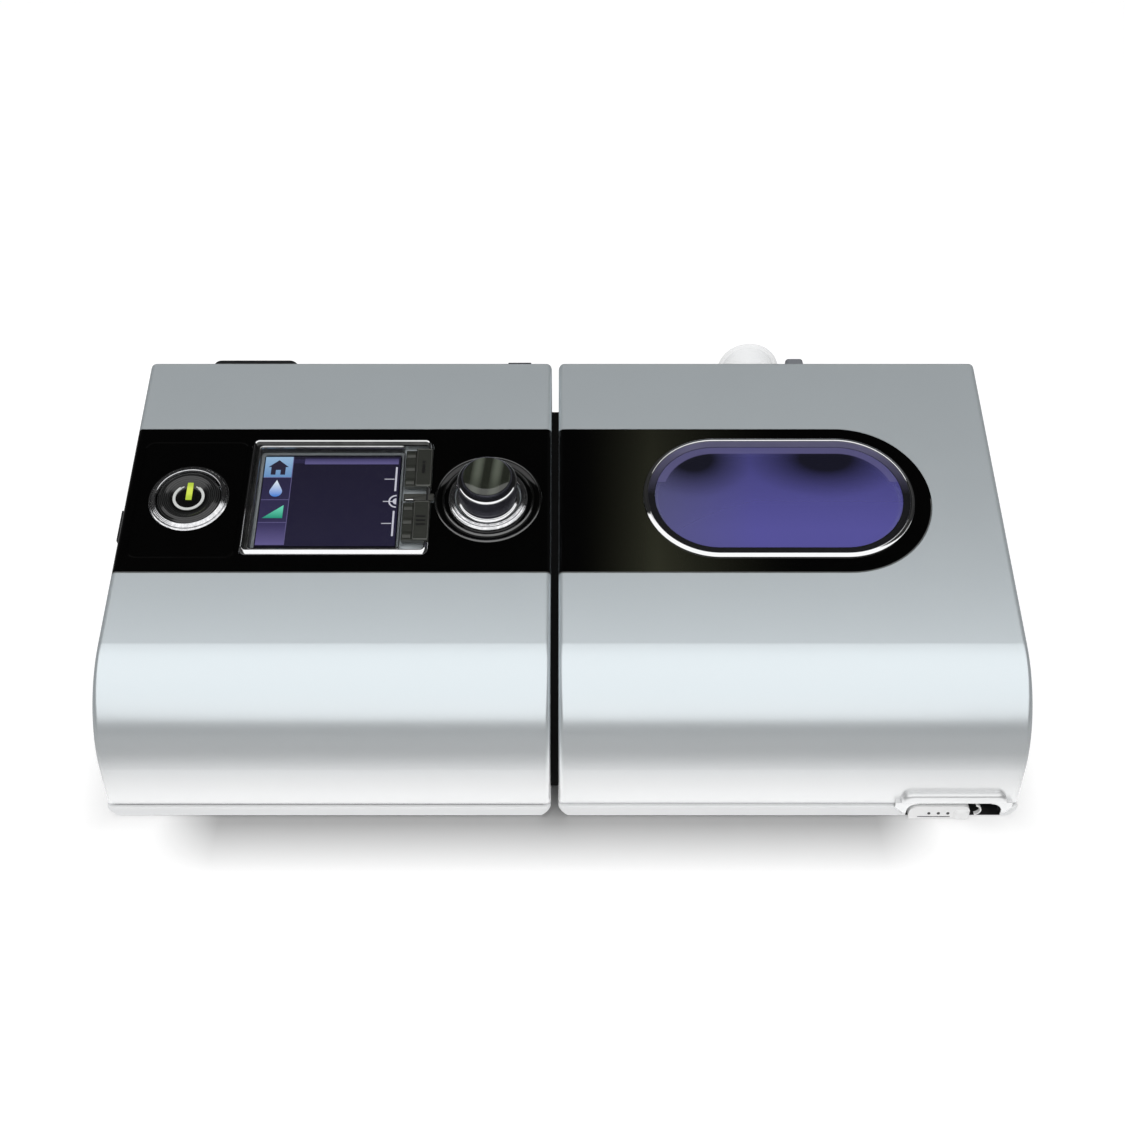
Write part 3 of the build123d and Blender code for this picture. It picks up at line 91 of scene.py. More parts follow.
def topPlace(node):
    # x, t and n of a node's middle
    offset = middle(node) - topEdge
    return offset.x, offset.dot(downSlope), offset.dot(outwards)


def plug(tree, socket, value):
    if isinstance(value, Wire):
        tree.links.new(value.socket, socket)
    else:
        socket.default_value = value


def sums(operation):
    return lambda self, *others: self.work(operation, self, *others)


class Wire:
    # a shader socket that can be used in sums
    def __init__(self, tree, socket):
        self.tree = tree
        self.socket = socket

    def work(self, operation, *values, clamp=False):
        node = self.tree.nodes.new("ShaderNodeMath")
        node.operation = operation
        node.use_clamp = clamp
        for place, value in enumerate(values):
            plug(self.tree, node.inputs[place], value)
        return Wire(self.tree, node.outputs[0])

    __add__ = __radd__ = sums("ADD")
    __sub__ = sums("SUBTRACT")
    __mul__ = __rmul__ = sums("MULTIPLY")
    __truediv__ = sums("DIVIDE")
    __gt__ = sums("GREATER_THAN")
    __lt__ = sums("LESS_THAN")
    __abs__ = sums("ABSOLUTE")
    atLeast = sums("MAXIMUM")
    wave = sums("SINE")
    root = sums("SQRT")

    def __rsub__(self, other):
        return self.work("SUBTRACT", other, self)

    def ripples(self, width):
        # a wave that comes again after each width
        return (self * (2 * math.pi / width)).wave()

    def step(self, low, high):
        # 0 below low, 1 above high, straight between
        return self.work("DIVIDE", self - low, high - low, clamp=True)


def paint(*shown):
    # the linear colour of an 8-bit display colour
    linear = [((c / 255 + 0.055) / 1.055) ** 2.4 if c > 10 else c / 3294.6 for c in shown]
    return (*linear, 1.0)


def grey(level):
    return (level, level, level, 1.0)


class Shading:
    # the nodes of a material or of the world
    def __init__(self, tree):
        self.tree = tree

    def add(self, kind, settings=None, inputs=None, output=0):
        node = self.tree.nodes.new("ShaderNode" + kind)
        for name, value in (settings or {}).items():
            if name == "stops":
                ramp = node.color_ramp
                while len(ramp.elements) < len(value):
                    ramp.elements.new(0.5)
                for stop, (position, colour) in zip(ramp.elements, value):
                    stop.position = position
                    stop.color = colour
            else:
                setattr(node, name, value)
        for name, value in (inputs or {}).items():
            plug(self.tree, node.inputs[name], value)
        return Wire(self.tree, node.outputs[output]) if node.outputs else None

    def ray(self, kind):
        return self.add("LightPath", output="Is " + kind + " Ray")


class Finish(Shading):
    def __init__(self, name, colour, roughness=0.5, metallic=0.0, **rest):
        self.material = bpy.data.materials.new(name)
        self.material.use_nodes = True
        super().__init__(self.material.node_tree)
        self.shader = self.tree.nodes["Principled BSDF"]
        given = {"Base Color": colour, "Roughness": roughness, "Metallic": metallic, **rest}
        for socket, value in given.items():
            self.set(socket, value)

    def set(self, socket, value):
        plug(self.tree, self.shader.inputs[socket.replace("_", " ")], value)

    def place(self, stretch=None):
        spot = self.add("TexCoord", output="Object")
        if stretch:
            spot = self.add("Mapping", inputs={"Vector": spot, "Scale": stretch})
        return spot

    def axes(self):
        # x, y and z in millimetres
        split = self.add("SeparateXYZ", inputs={0: self.place()})
        found = [Wire(self.tree, split.socket.node.outputs[axis]) for axis in range(3)]
        return [axis * (1 / mm) for axis in found]

    def topAxes(self, centre=(0.0, 0.0, 0.0)):
        # x, t and n from a place on the sloping top
        x, y, z = self.axes()
        y = y - topEdge.y
        z = z - topEdge.z
        t = y * downSlope.y + z * downSlope.z
        n = y * outwards.y + z * outwards.z
        return x - centre[0], t - centre[1], n - centre[2]

    def noise(self, size, detail=2.0, stretch=None):
        # size is the width of one grain in millimetres
        spot = self.place(stretch)
        return self.add("TexNoise", inputs={"Vector": spot, "Scale": 1 / (size * mm), "Detail": detail})

    def cells(self, size, feature="F1", stretch=None):
        given = {"Vector": self.place(stretch), "Scale": 1 / (size * mm)}
        return self.add("TexVoronoi", {"feature": feature}, given, "Distance")

    def blend(self, share, first, second):
        return self.add("Mix", {"data_type": "RGBA"}, {0: share, 6: first, 7: second}, 2)

    def colour(self, share, first, second):
        self.set("Base Color", self.blend(share, first, second))

    def bump(self, height, depth, strength=1.0):
        # depth is the relief in millimetres
        normal = self.add("Bump", inputs={"Height": height, "Distance": depth * mm, "Strength": strength})
        self.set("Normal", normal)


def silverPaint():
    # cool on the top, and neutral towards the foot, a painted tint so that the foot's reflection of the pale
    # floor looks neutral
    look = {
        "top": (0.775, 0.842, 0.878, 1), "foot": (0.87, 0.875, 0.88, 1), "turn": (14.0, 44.0),
        "flake": 0.22, "flakeDepth": 0.0003, "flakeShade": 0.05, "dark": (0.5, 0.55, 0.58, 1), "cloud": 18.0,
    }
    finish = Finish("silverPaint", look["top"], metallic=0.6, Coat_Weight=0.2, Coat_Roughness=0.1)
    flake = finish.noise(look["flake"], 1.0)
    cloud = finish.noise(look["cloud"], 3.0)
    # painted reflection tint: the colour turns neutral lower down, where the paint reflects the floor
    colour = finish.blend(finish.axes()[2].step(*look["turn"]), look["foot"], look["top"])
    finish.colour(flake.step(0.3, 0.7) * look["flakeShade"], colour, look["dark"])
    finish.set("Roughness", 0.25 + cloud * 0.03)
    finish.bump(flake, look["flakeDepth"])
    return finish.material


def blackGloss(name, left, sheen=None):
    # a painted highlight: a light line along the lower edge and round the band's end on the lid; with sheen,
    # a painted brownish reflection across the band
    look = {
        "black": grey(0.001), "dust": grey(0.006), "line": (0.12, 0.125, 0.123, 1), "highlightWidth": (0.5, 0.4),
        "low": 88.8, "end": (93.1, 59.45, 29.35), "sheenLow": 0.55,
    }
    finish = Finish(name, look["black"], Coat_Weight=0.2, Coat_Roughness=0.03)
    film = finish.noise(9.0, 4.0)
    dust = finish.noise(0.25, 1.0).step(0.72, 0.8)
    finish.set("Roughness", 0.05 + film * 0.05)
    colour = finish.blend(dust * 0.2, look["black"], look["dust"])
    x, t, _ = finish.topAxes((left, 0, 0))
    inside = look["low"] - t
    # painted reflection: a soft brownish glow across the band, weaker towards its back
    if sheen:
        endX, endT, radius = look["end"]
        acrossX = (x - endX).atLeast(0)
        inside = radius - (acrossX * acrossX + (t - endT) * (t - endT)).root() + (t < endT) * 5
        glow = x.step(*sheen["rise"]) * x.step(*sheen["fall"])
        down = look["sheenLow"] + t.step(30, 88) * (1 - look["sheenLow"])
        colour = finish.blend(glow * glow * down, colour, sheen["colour"])
    # painted highlight along the band's lower edge, where its bevel would catch the light
    finish.colour(inside.step(*look["highlightWidth"]), colour, look["line"])
    finish.bump(finish.noise(14.0, 2.0), 0.01, 0.3)
    return finish.material


def mouldedPlastic(name, colour, roughness, grain=0.45, depth=0.012, shift=0.06, **rest):
    # spark-eroded grain, and a slow drift of shade
    finish = Finish(name, colour, roughness, **rest)
    texture = finish.noise(grain, 3.0)
    drift = finish.noise(22.0, 2.0)
    darker = tuple(c * (1 - shift * 2.5) for c in colour[:3]) + (1.0,)
    finish.colour(drift.step(0.25, 0.75) * 0.6 + texture * 0.2, colour, darker)
    finish.set("Roughness", roughness - 0.04 + texture * 0.1)
    finish.bump(texture, depth)
    return finish.material


def streaked(name, colours, roughness, noise, relief=0.0, metallic=1.0, **rest):
    # one noise drives the colour, the roughness (its least, and how much more) and the relief
    finish = Finish(name, colours[0], metallic=metallic, **rest)
    streak = finish.noise(*noise)
    finish.colour(streak, *colours)
    finish.set("Roughness", roughness[0] + streak * roughness[1])
    if relief:
        finish.bump(streak, relief)
    return finish.material


def dimPlating(name, shade):
    colours = ((shade * 0.7, shade * 0.72, shade * 0.7, 1), grey(shade * 1.3))
    return streaked(name, colours, (0.12, 0.1), (5.0, 3.0))


def turnedChrome(name, place):
    # chrome with fine turned rings round its axis
    look = {"ring": 0.42, "depth": 0.012, "bright": (0.9, 0.9, 0.91, 1), "dull": (0.6, 0.61, 0.63, 1)}
    finish = Finish(name, look["bright"], metallic=1.0)
    x, t, _ = finish.topAxes(place)
    radius = (x * x + t * t).root()
    streak = finish.noise(1.4, 3.0)
    rings = (radius * (2 * math.pi / look["ring"]) + streak * 5).wave()
    finish.set("Roughness", 0.07 + streak * 0.12)
    finish.colour(streak.step(0.35, 0.7), look["bright"], look["dull"])
    finish.bump(rings, look["depth"])
    return finish.material


def startBlack(place):
    # turned rings run round the cap, their ridges painted lighter as a painted highlight
    look = {
        "ring": 0.62, "depth": 0.006, "edge": (6.0, 6.6), "black": grey(0.004),
        "raised": (0.026, 0.027, 0.027, 1),
    }
    finish = Finish("startBlack", look["black"], 0.16, Coat_Weight=0.4, Coat_Roughness=0.05)
    x, t, _ = finish.topAxes(place)
    radius = (x * x + t * t).root()
    rings = radius.ripples(look["ring"])
    outer = radius.step(*look["edge"])
    # painted highlight on the rings' ridges
    finish.colour(rings.step(-1, 1) * outer, look["black"], look["raised"])
    finish.bump(rings * outer, look["depth"])
    return finish.material


def lightGuide(name, place):
    look = {"bar": paint(176, 200, 62), "barTop": paint(206, 222, 84), "ring": paint(190, 192, 190)}
    finish = Finish(name, look["ring"], 0.3)
    x, t, _ = finish.topAxes(place)
    bar = (abs(x) < 1.4) * (t < 1.2)
    edge = finish.noise(1.2, 2.0)
    lit = finish.blend(abs(t + 2.6).step(2.4, 1.0), look["bar"], look["barTop"])
    finish.colour(bar, look["ring"], (0.02, 0.025, 0.004, 1))
    finish.set("Emission Color", finish.blend(bar, paint(96, 97, 96), lit))
    finish.set("Roughness", 0.25 + edge * 0.1)
    finish.set("Emission Strength", 1.0)
    return finish.material


def clearLens():
    finish = Finish("clearLens", (0.01, 0.01, 0.012, 1), Alpha=0.12, Coat_Weight=1.0, Coat_Roughness=0.02)
    finish.set("Roughness", 0.03 + finish.noise(6.0, 3.0) * 0.05)
    return finish.material


def windowTint():
    # violet, with a lilac ledge and two soft dark areas of painted shade below its upper edge, and greyer at
    # the left
    look = {
        "violet": paint(104, 100, 182), "high": paint(84, 82, 150), "dark": paint(22, 22, 28),
        "grey": paint(104, 106, 122), "greyEnd": (64, 30), "lilac": paint(116, 112, 162), "fade": (72, 44),
        "shadePatches": ((45.0, 15.5), (89.0, 21.0)), "upper": 43.0, "tall": 12.5, "ends": (52.1, 92.6),
        "middle": 58.7, "half": 20.5, "ledge": (2.9, 2.5), "ledgeEnd": 52.7, "alpha": 0.66,
    }
    finish = Finish("windowTint", look["violet"], Coat_Weight=0.6, Coat_Roughness=0.03)
    x, t, _ = finish.topAxes((humidifierLeft, 0, 0))
    drop = (t - look["upper"]) / look["tall"]
    # painted shade: two dark soft areas below the upper edge, also less clear
    shade = None
    for centre, width in look["shadePatches"]:
        side = (x - centre) / width
        patch = 1 - (side * side + drop * drop).root().step(0.4, 1.3)
        shade = patch if shade is None else shade.atLeast(patch)
    left, right = look["ends"]
    past = (left - x).atLeast(0) + (x - right).atLeast(0)
    down = t - look["middle"]
    inside = look["half"] - (past * past + down * down).root()
    ledge = inside.step(*look["ledge"]) * (t < look["ledgeEnd"])
    cloud = finish.noise(20.0, 2.0)
    colour = finish.blend(t.step(*look["fade"]), look["violet"], look["high"])
    colour = finish.blend(x.step(*look["greyEnd"]) * 0.55 + cloud * 0.05, colour, look["grey"])
    colour = finish.blend(shade * 0.97, colour, look["dark"])
    finish.set("Alpha", look["alpha"] + shade * 0.28)
    finish.colour(ledge * 0.6, colour, look["lilac"])
    finish.set("Roughness", 0.05 + finish.noise(6.0, 3.0) * 0.04)
    return finish.material


def displayGlass():
    # the dark glass face above a pressed steel frame
    finish = Finish("displayGlass", (0.01, 0.01, 0.02, 1), 0.15)
    _, _, n = finish.topAxes()
    face = n.step(-2.3, -2.2)
    haze = finish.noise(0.8, 3.0)
    finish.colour(face, grey(0.5), (0.008, 0.008, 0.016, 1))
    finish.set("Metallic", 1 - face)
    finish.set("Roughness", 0.1 + (1 - face) * 0.2 + haze * 0.08)
    return finish.material


def glowing(name, colour, other=None, span=None):
    # a lit part of the screen's picture, with its fine pixel lines; span fades it to the other colour down t
    finish = Finish(name, grey(0.0), 0.25)
    x, t, _ = finish.topAxes()
    lines = x.ripples(0.36) * t.ripples(0.36)
    shown = finish.blend(t.step(*span), colour, other) if span else colour
    dots = lines.step(-1, 1) * 0.12
    finish.set("Emission Color", finish.blend(dots, shown, (0, 0, 0, 1)))
    finish.set("Emission Strength", 1.0)
    return finish.material


def knobDark():
    # plated skirt with fine turned lines round its axis
    finish = Finish("knobDark", paint(60, 60, 66), metallic=0.7)
    _, _, n = finish.topAxes()
    haze = finish.noise(3.0, 3.0)
    finish.colour(haze, paint(66, 66, 74), paint(98, 98, 110))
    finish.set("Roughness", 0.16 + haze * 0.1)
    finish.bump(n.ripples(0.5), 0.006)
    return finish.material


def knobGlass(place):
    # soft upright stripes of painted reflection in the cap, fading towards the bottom
    look = {"dark": paint(20, 22, 17), "light": paint(118, 124, 112), "green": paint(66, 70, 60)}
    finish = Finish("knobGlass", look["green"], 0.12, metallic=0.2, Coat_Weight=1.0, Coat_Roughness=0.04)
    x, t, _ = finish.topAxes(place)
    lean = x + t * 0.12
    # painted reflection: lighter and darker upright stripes
    reflectionBands = (lean * 1.013 - 1.47).wave().step(-0.6, 1.0)
    fade = 1 - t.step(-1.0, 5.5) * 0.6
    soft = finish.blend(reflectionBands * fade, look["dark"], look["light"])
    finish.colour(0.25 + finish.noise(3.0, 2.0) * 0.2, soft, look["green"])
    finish.set("Roughness", 0.08 + finish.noise(2.0, 3.0) * 0.06)
    return finish.material


def circuitBoard(name, axes, axis, limits):
    # tracks and pads under green solder mask; the parts on the board begin at the limits along that axis
    look = {"mask": (0.012, 0.10, 0.045, 1), "track": (0.02, 0.16, 0.07, 1), "pad": (0.62, 0.6, 0.5, 1)}
    finish = Finish(name, look["mask"], 0.35, Coat_Weight=0.3)
    tracks = finish.cells(2.4, "DISTANCE_TO_EDGE").step(0.14, 0.1)
    pads = finish.cells(1.7).step(0.2, 0.16)
    board = finish.blend(tracks, look["mask"], look["track"])
    board = finish.blend(pads, board, look["pad"])
    above = axes(finish)[axis].step(*limits)
    grain = finish.noise(0.4, 2.0)
    body = finish.blend(grain, (0.012, 0.012, 0.013, 1), (0.03, 0.03, 0.032, 1))
    finish.colour(above, board, body)
    finish.set("Roughness", 0.32 + grain * 0.1 + above * 0.15)
    finish.set("Metallic", pads * 0.7 * (1 - above))
    finish.bump(tracks + pads, 0.03)
    return finish.material


def ribbonGrey():
    finish = Finish("ribbonGrey", (0.5, 0.52, 0.55, 1), 0.4)
    x, _, _ = finish.axes()
    # painted shade: the grooves between the wires darker, the ridges lighter
    wires = x.ripples(1.0).step(-0.7, 0.9)
    finish.colour(wires, (0.42, 0.44, 0.47, 1), (0.66, 0.68, 0.7, 1))
    finish.bump(wires, 0.12)
    return finish.material


def memoryCard():
    finish = Finish("memoryCard", (0.01, 0.014, 0.03, 1), 0.4)
    x, _, _ = finish.axes()
    contacts = (x > highest("sd_card").x - 5.0) * finish.cells(2.2, stretch=(0.2, 1, 0.2)).step(0.36, 0.3)
    grain = finish.noise(0.3, 2.0)
    plain = finish.blend(grain, (0.012, 0.016, 0.035, 1), (0.02, 0.026, 0.05, 1))
    finish.colour(contacts, plain, (0.75, 0.55, 0.2, 1))
    finish.set("Metallic", contacts)
    finish.bump(grain, 0.01)
    return finish.material


def filterFibre():
    look = {"low": (0.5, 0.51, 0.5, 1), "high": (0.78, 0.79, 0.77, 1)}
    finish = Finish("filterFibre", look["high"], 0.9, Sheen_Weight=0.3)
    x, _, _ = finish.axes()
    # painted shade: the pleats' hollows darker and their ridges lighter, with random fibre tone
    pleats = x.ripples(3.2)
    fibre = finish.noise(0.35, 4.0)
    finish.colour(pleats.step(-1, 1) * 0.7 + fibre * 0.3, look["low"], look["high"])
    finish.bump(pleats * 2 + fibre, 0.35)
    return finish.material


def openFoam(name, colour):
    finish = Finish(name, colour, 0.95)
    # painted shade: each pore darker towards its middle
    pores = finish.cells(1.3)
    deep = tuple(c * 0.25 for c in colour[:3]) + (1.0,)
    finish.colour(pores.step(0.1, 0.6), deep, colour)
    finish.bump(pores, 0.5)
    return finish.material


def silicone():
    finish = Finish("silicone", (0.74, 0.76, 0.78, 1), 0.42, Subsurface_Weight=0.2, Sheen_Weight=0.15)
    cloud = finish.noise(6.0, 3.0)
    finish.colour(cloud, (0.68, 0.70, 0.73, 1), (0.80, 0.82, 0.83, 1))
    finish.set("Roughness", 0.36 + cloud * 0.12)
    finish.bump(finish.noise(0.8, 2.0), 0.01)
    return finish.material


def copperCoil(centre):
    # enamelled wire between the teeth of a laminated core; the grooves between the turns and between the
    # sheets are painted darker, as painted shade
    finish = Finish("copperCoil", (0.5, 0.22, 0.08, 1), 0.3, metallic=1.0)
    x, y, z = finish.axes()
    x = x - centre.x
    y = y - centre.y
    radius = (x * x + y * y).root()
    rim = radius.step(13.4, 13.5)
    sheets = z.ripples(0.5).step(-1, 1)
    turns = radius.ripples(0.55).step(-1, 1)
    wire = finish.blend(turns, (0.30, 0.11, 0.03, 1), (0.72, 0.34, 0.13, 1))
    core = finish.blend(sheets, (0.22, 0.22, 0.23, 1), (0.42, 0.42, 0.43, 1))
    finish.colour(rim, wire, core)
    finish.bump(turns * (1 - rim) + sheets * rim, 0.12)
    return finish.material


def elementAmber():
    # a printed heating track in amber film
    finish = Finish("elementAmber", (0.42, 0.16, 0.02, 1), 0.28, Coat_Weight=0.5)
    x, _, _ = finish.axes()
    track = x.ripples(2.2).step(0.1, 0.3)
    grain = finish.noise(1.0, 2.0)
    film = finish.blend(grain, (0.36, 0.13, 0.015, 1), (0.48, 0.2, 0.03, 1))
    finish.colour(track, film, (0.55, 0.33, 0.18, 1))
    finish.set("Metallic", track * 0.8)
    return finish.material


def tintedClear(name, light, deep, alpha, roughness):
    # alpha is that of the face and of the rim
    finish = Finish(name, light, roughness, Coat_Weight=0.6, Coat_Roughness=0.05)
    flow = finish.noise(16.0, 3.0)
    facing = finish.add("LayerWeight", inputs={"Blend": 0.4}, output="Facing")
    finish.set("Alpha", alpha[0] + facing * (alpha[1] - alpha[0]))
    finish.colour(flow.step(0.3, 0.7), light, deep)
    finish.set("Roughness", roughness + finish.noise(3.0, 2.0) * 0.06)
    finish.bump(flow, 0.15, 0.4)
    return finish.material


startPlace = topPlace("start_ring")
dialPlace = topPlace("dial_ring")

lightPlastic = mouldedPlastic("lightPlastic", paint(248, 249, 250), 0.42, shift=0.01)
blackPlastic = mouldedPlastic("blackPlastic", (0.014, 0.014, 0.015, 1), 0.4, depth=0.02)
dockPlastic = mouldedPlastic("dockPlastic", grey(0.006), 0.75, Specular_IOR_Level=0.15)
markPlastic = mouldedPlastic("latchMark", (0.03, 0.03, 0.032, 1), 0.4)
rubber = mouldedPlastic("rubber", (0.022, 0.022, 0.023, 1), 0.75, grain=0.7, depth=0.05)
housing = mouldedPlastic("housing", (0.42, 0.43, 0.44, 1), 0.45)
liner = mouldedPlastic("liner", (0.22, 0.23, 0.25, 1), 0.45)
latchWhite = mouldedPlastic("latchWhite", paint(252, 252, 252), 0.3, shift=0.005, Coat_Weight=0.3)
silver = silverPaint()
gloss = blackGloss("blackGloss", generatorLeft)
# a painted brownish reflection across the lid's black band
paintedBrownSheen = {"rise": (4.0, 32.0), "fall": (80.0, 30.0), "colour": (0.03, 0.031, 0.02, 1)}
lidGloss = blackGloss("lidGloss", humidifierLeft, paintedBrownSheen)
chrome = streaked("brightChrome", ((0.84, 0.85, 0.86, 1), (0.9, 0.9, 0.91, 1)), (0.045, 0.05), (4.0, 4.0))
steelGrain = (0.3, 3.0, (1, 1, 6))
steel = streaked("turnedSteel", ((0.5, 0.5, 0.51, 1), (0.68, 0.68, 0.69, 1)), (0.22, 0.16), steelGrain, 0.006)
plateColours = ((0.6, 0.6, 0.61, 1), (0.78, 0.78, 0.79, 1))
plateMetal = streaked("heaterAluminium", plateColours, (0.24, 0.18), (0.35, 4.0, (0.04, 1, 1)), 0.012)
keyColours = (paint(42, 44, 40), paint(60, 62, 56))
keyGrain = (0.22, 2.0, (0.06, 1, 1))
keyCoat = {"Coat_Weight": 0.4, "Coat_Roughness": 0.12}
key = streaked("keyDark", keyColours, (0.26, 0.14), keyGrain, 0.01, 0.35, **keyCoat)
siliconeRubber = silicone()
clearColours = ((0.86, 0.88, 0.90, 1), (0.80, 0.83, 0.86, 1))
clearPlastic = tintedClear("clearPlastic", *clearColours, (0.1, 0.5), 0.12)
tubBlue = tintedClear("tubBlue", paint(122, 118, 206), paint(104, 100, 190), (0.9, 0.95), 0.14)

nodeFinishes = (
    (lightPlastic, "fg_base_tray hum_base_tray"), (rubber, "fg_feet hum_feet"),
    (silver, "fg_upper_case lid_shell"), (gloss, "fg_fascia"), (lidGloss, "lid_fascia"),
    (dockPlastic, "fg_dock_panel hum_dock_panel"),
    (blackPlastic, "hum_chassis sd_cover filter_cover power_inlet power_clip dial_plunger"),
    (steel, "fg_screws hum_screws lid_pins latch_spring dial_shaft motor_shaft motor_bearings"),
    (chrome, "start_ring screen_bezel dial_ring window_ring"), (startBlack(startPlace), "start_button"),
    (lightGuide("lightGuide", startPlace), "start_light_guide"), (clearLens(), "screen_lens"),
    (windowTint(), "window_lens"), (displayGlass(), "lcd_module"), (key, "info_key setup_key"),
    (knobDark(), "dial_knob"), (knobGlass(dialPlace), "dial_cap"),
    (circuitBoard("controlBoard", Finish.topAxes, 2, (-8.95, -8.9)), "control_board"),
    (circuitBoard("mainBoard", Finish.axes, 2, (9.25, 9.3)), "main_board"),
    (circuitBoard("heaterBoard", Finish.axes, 0, (7.5, 7.6)), "hum_board"),
    (ribbonGrey(), "ribbon_cable"), (memoryCard(), "sd_card"), (filterFibre(), "air_filter"),
    (openFoam("mufflerFoam", (0.13, 0.13, 0.14, 1)), "muffler_foam"),
    (housing, "blower_lower blower_upper impeller"), (copperCoil(middle("motor_stator")), "motor_stator"),
    (siliconeRubber, "blower_mount outlet_duct inlet_duct tub_seal"), (plateMetal, "heater_plate"),
    (elementAmber(), "heater_element"), (tubBlue, "water_tub tub_lid"),
    (clearPlastic, "hum_outlet_duct air_outlet"), (liner, "tube_connector lid_liner"),
    (latchWhite, "latch_slider"),
)
for finish, names in nodeFinishes:
    for name in names.split():
        nodes[name].data.materials.clear()
        nodes[name].data.materials.append(finish)
print("finishes")


def addObject(name, content):
    thing = bpy.data.objects.new(name, content)
    scene.collection.objects.link(thing)
    return thing


def meshObject(name, shape):
    mesh = bpy.data.meshes.new(name)
    shape.to_mesh(mesh)
    shape.free()
    return addObject(name, mesh)


def settle(piece):
    # the modifiers' result becomes a plain mesh
    bpy.context.view_layer.update()
    plain = bpy.data.meshes.new_from_object(piece.evaluated_get(bpy.context.evaluated_depsgraph_get()))
    piece.modifiers.clear()
    piece.data = plain


def makePiece(name, shape, finish, body, blocks=()):
    bmesh.ops.recalc_face_normals(shape, faces=shape.faces)
    piece = meshObject(name, shape)
    piece.data.materials.append(finish)
    carve(piece, blocks)
    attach(piece, body)
    return piece


def bridge(shape, first, second):
    # a band of faces between two rings
    for index in range(len(first)):
        after = (index + 1) % len(first)
        shape.faces.new((first[index], first[after], second[after], second[index]))


def addPrism(shape, outline, low, high, lift=onTop):
    # a closed plate with that outline, from low to high along the outward normal
    bottom = [shape.verts.new(lift(a, b, low)) for a, b in outline]
    upper = [shape.verts.new(lift(a, b, high)) for a, b in outline]
    shape.faces.new(bottom)
    shape.faces.new(upper)
    bridge(shape, bottom, upper)


def rectangle(x0, x1, t0, t1, corner=0.0):
    if corner <= 0:
        return [(x0, t0), (x1, t0), (x1, t1), (x0, t1)]
    rows = roundedRows((x0, x1), (t0, t1), corner, 5)
    return [(c[0] + radius * way[0], c[1] + radius * way[1]) for c, radius, way in rows]


def arcBand(x, t, inner, outer, start, end, steps=20):
    angles = [math.radians(start + (end - start) * step / steps) for step in range(steps + 1)]
    points = [(x + outer * math.cos(a), t + outer * math.sin(a)) for a in angles]
    return points + [(x + inner * math.cos(a), t + inner * math.sin(a)) for a in reversed(angles)]


def roundedRows(xSpan, tSpan, radius, steps=8):
    # the corners of a rounded plate: centre, radius and direction of each point
    rows = []
    for xEnd, tEnd, start in ((1, 0, -90), (1, 1, 0), (0, 1, 90), (0, 0, 180)):
        centre = (xSpan[xEnd] + radius * (1 - 2 * xEnd), tSpan[tEnd] + radius * (1 - 2 * tEnd))
        for step in range(steps + 1):
            angle = math.radians(start + 90 * step / steps)
            rows.append((centre, radius, (math.cos(angle), math.sin(angle))))
    return rows


def circleRows(x, t, steps=96):
    angles = [2 * math.pi * step / steps for step in range(steps)]
    return [((x, t), 0.0, (math.cos(a), math.sin(a))) for a in angles]


def rowPoint(row, out, n):
    centre, radius, way = row
    reach = radius + out
    return onTop(centre[0] + way[0] * reach, centre[1] + way[1] * reach, n)


def addSweep(shape, paths, profile, taller=0.0):
    # a closed section carried round; each of its points is (path, out, n), measured from one of the paths;
    # taller raises its upper side in proportion
    rings = []
    low = min(centre[1] for centre, _, _ in paths[0])
    span = max(centre[1] for centre, _, _ in paths[0]) - low
    for index in range(len(paths[0])):
        ring = []
        for path, out, n in profile:
            if n > 0 and taller:
                n *= 1 + taller * (1 - (paths[0][index][0][1] - low) / span)
            ring.append(shape.verts.new(rowPoint(paths[path][index], out, n)))
        rings.append(ring)
    for index, ring in enumerate(rings):
        after = rings[(index + 1) % len(rings)]
        for place in range(len(profile)):
            nextPlace = (place + 1) % len(profile)
            shape.faces.new((ring[place], after[place], after[nextPlace], ring[nextPlace]))


def smoothShade(piece, degrees=40):
    mesh = piece.data
    mesh.polygons.foreach_set("use_smooth", [True] * len(mesh.polygons))
    mesh.set_sharp_from_angle(angle=math.radians(degrees))
    return piece


def carve(piece, boxes):
    # cuts blocks out of a piece; each block is an outline with its low and high
    for outline, low, high in boxes:
        shape = bmesh.new()
        addPrism(shape, outline, low, high)
        bmesh.ops.recalc_face_normals(shape, faces=shape.faces)
        cutter = meshObject("cutter", shape)
        cut = piece.modifiers.new("cut", "BOOLEAN")
        cut.object = cutter
        cut.solver = "EXACT"
        settle(piece)
        bpy.data.objects.remove(cutter)


def addPad(shape, rows, low, high, curve):
    # a plate with its upper edge rounded off
    section = [(0, low), (0, high - curve), (-0.3 * curve, high - 0.3 * curve), (-curve, high)]
    rings = []
    for out, n in section:
        rings.append([shape.verts.new(rowPoint(row, out, n)) for row in rows])
    for lower, upper in zip(rings, rings[1:]):
        bridge(shape, lower, upper)
    shape.faces.new(rings[0])
    shape.faces.new(rings[-1])


def sweptPiece(name, paths, sections, finish, body, slot, blocks=(), taller=0.0):
    shape = bmesh.new()
    for section in sections:
        addSweep(shape, paths, [point if len(point) == 3 else (0, *point) for point in section], taller)
    bmesh.ops.remove_doubles(shape, verts=shape.verts, dist=1e-7)
    bmesh.ops.dissolve_degenerate(shape, edges=shape.edges, dist=1e-7)
    return smoothShade(makePiece(name, shape, finish, body, blocks))


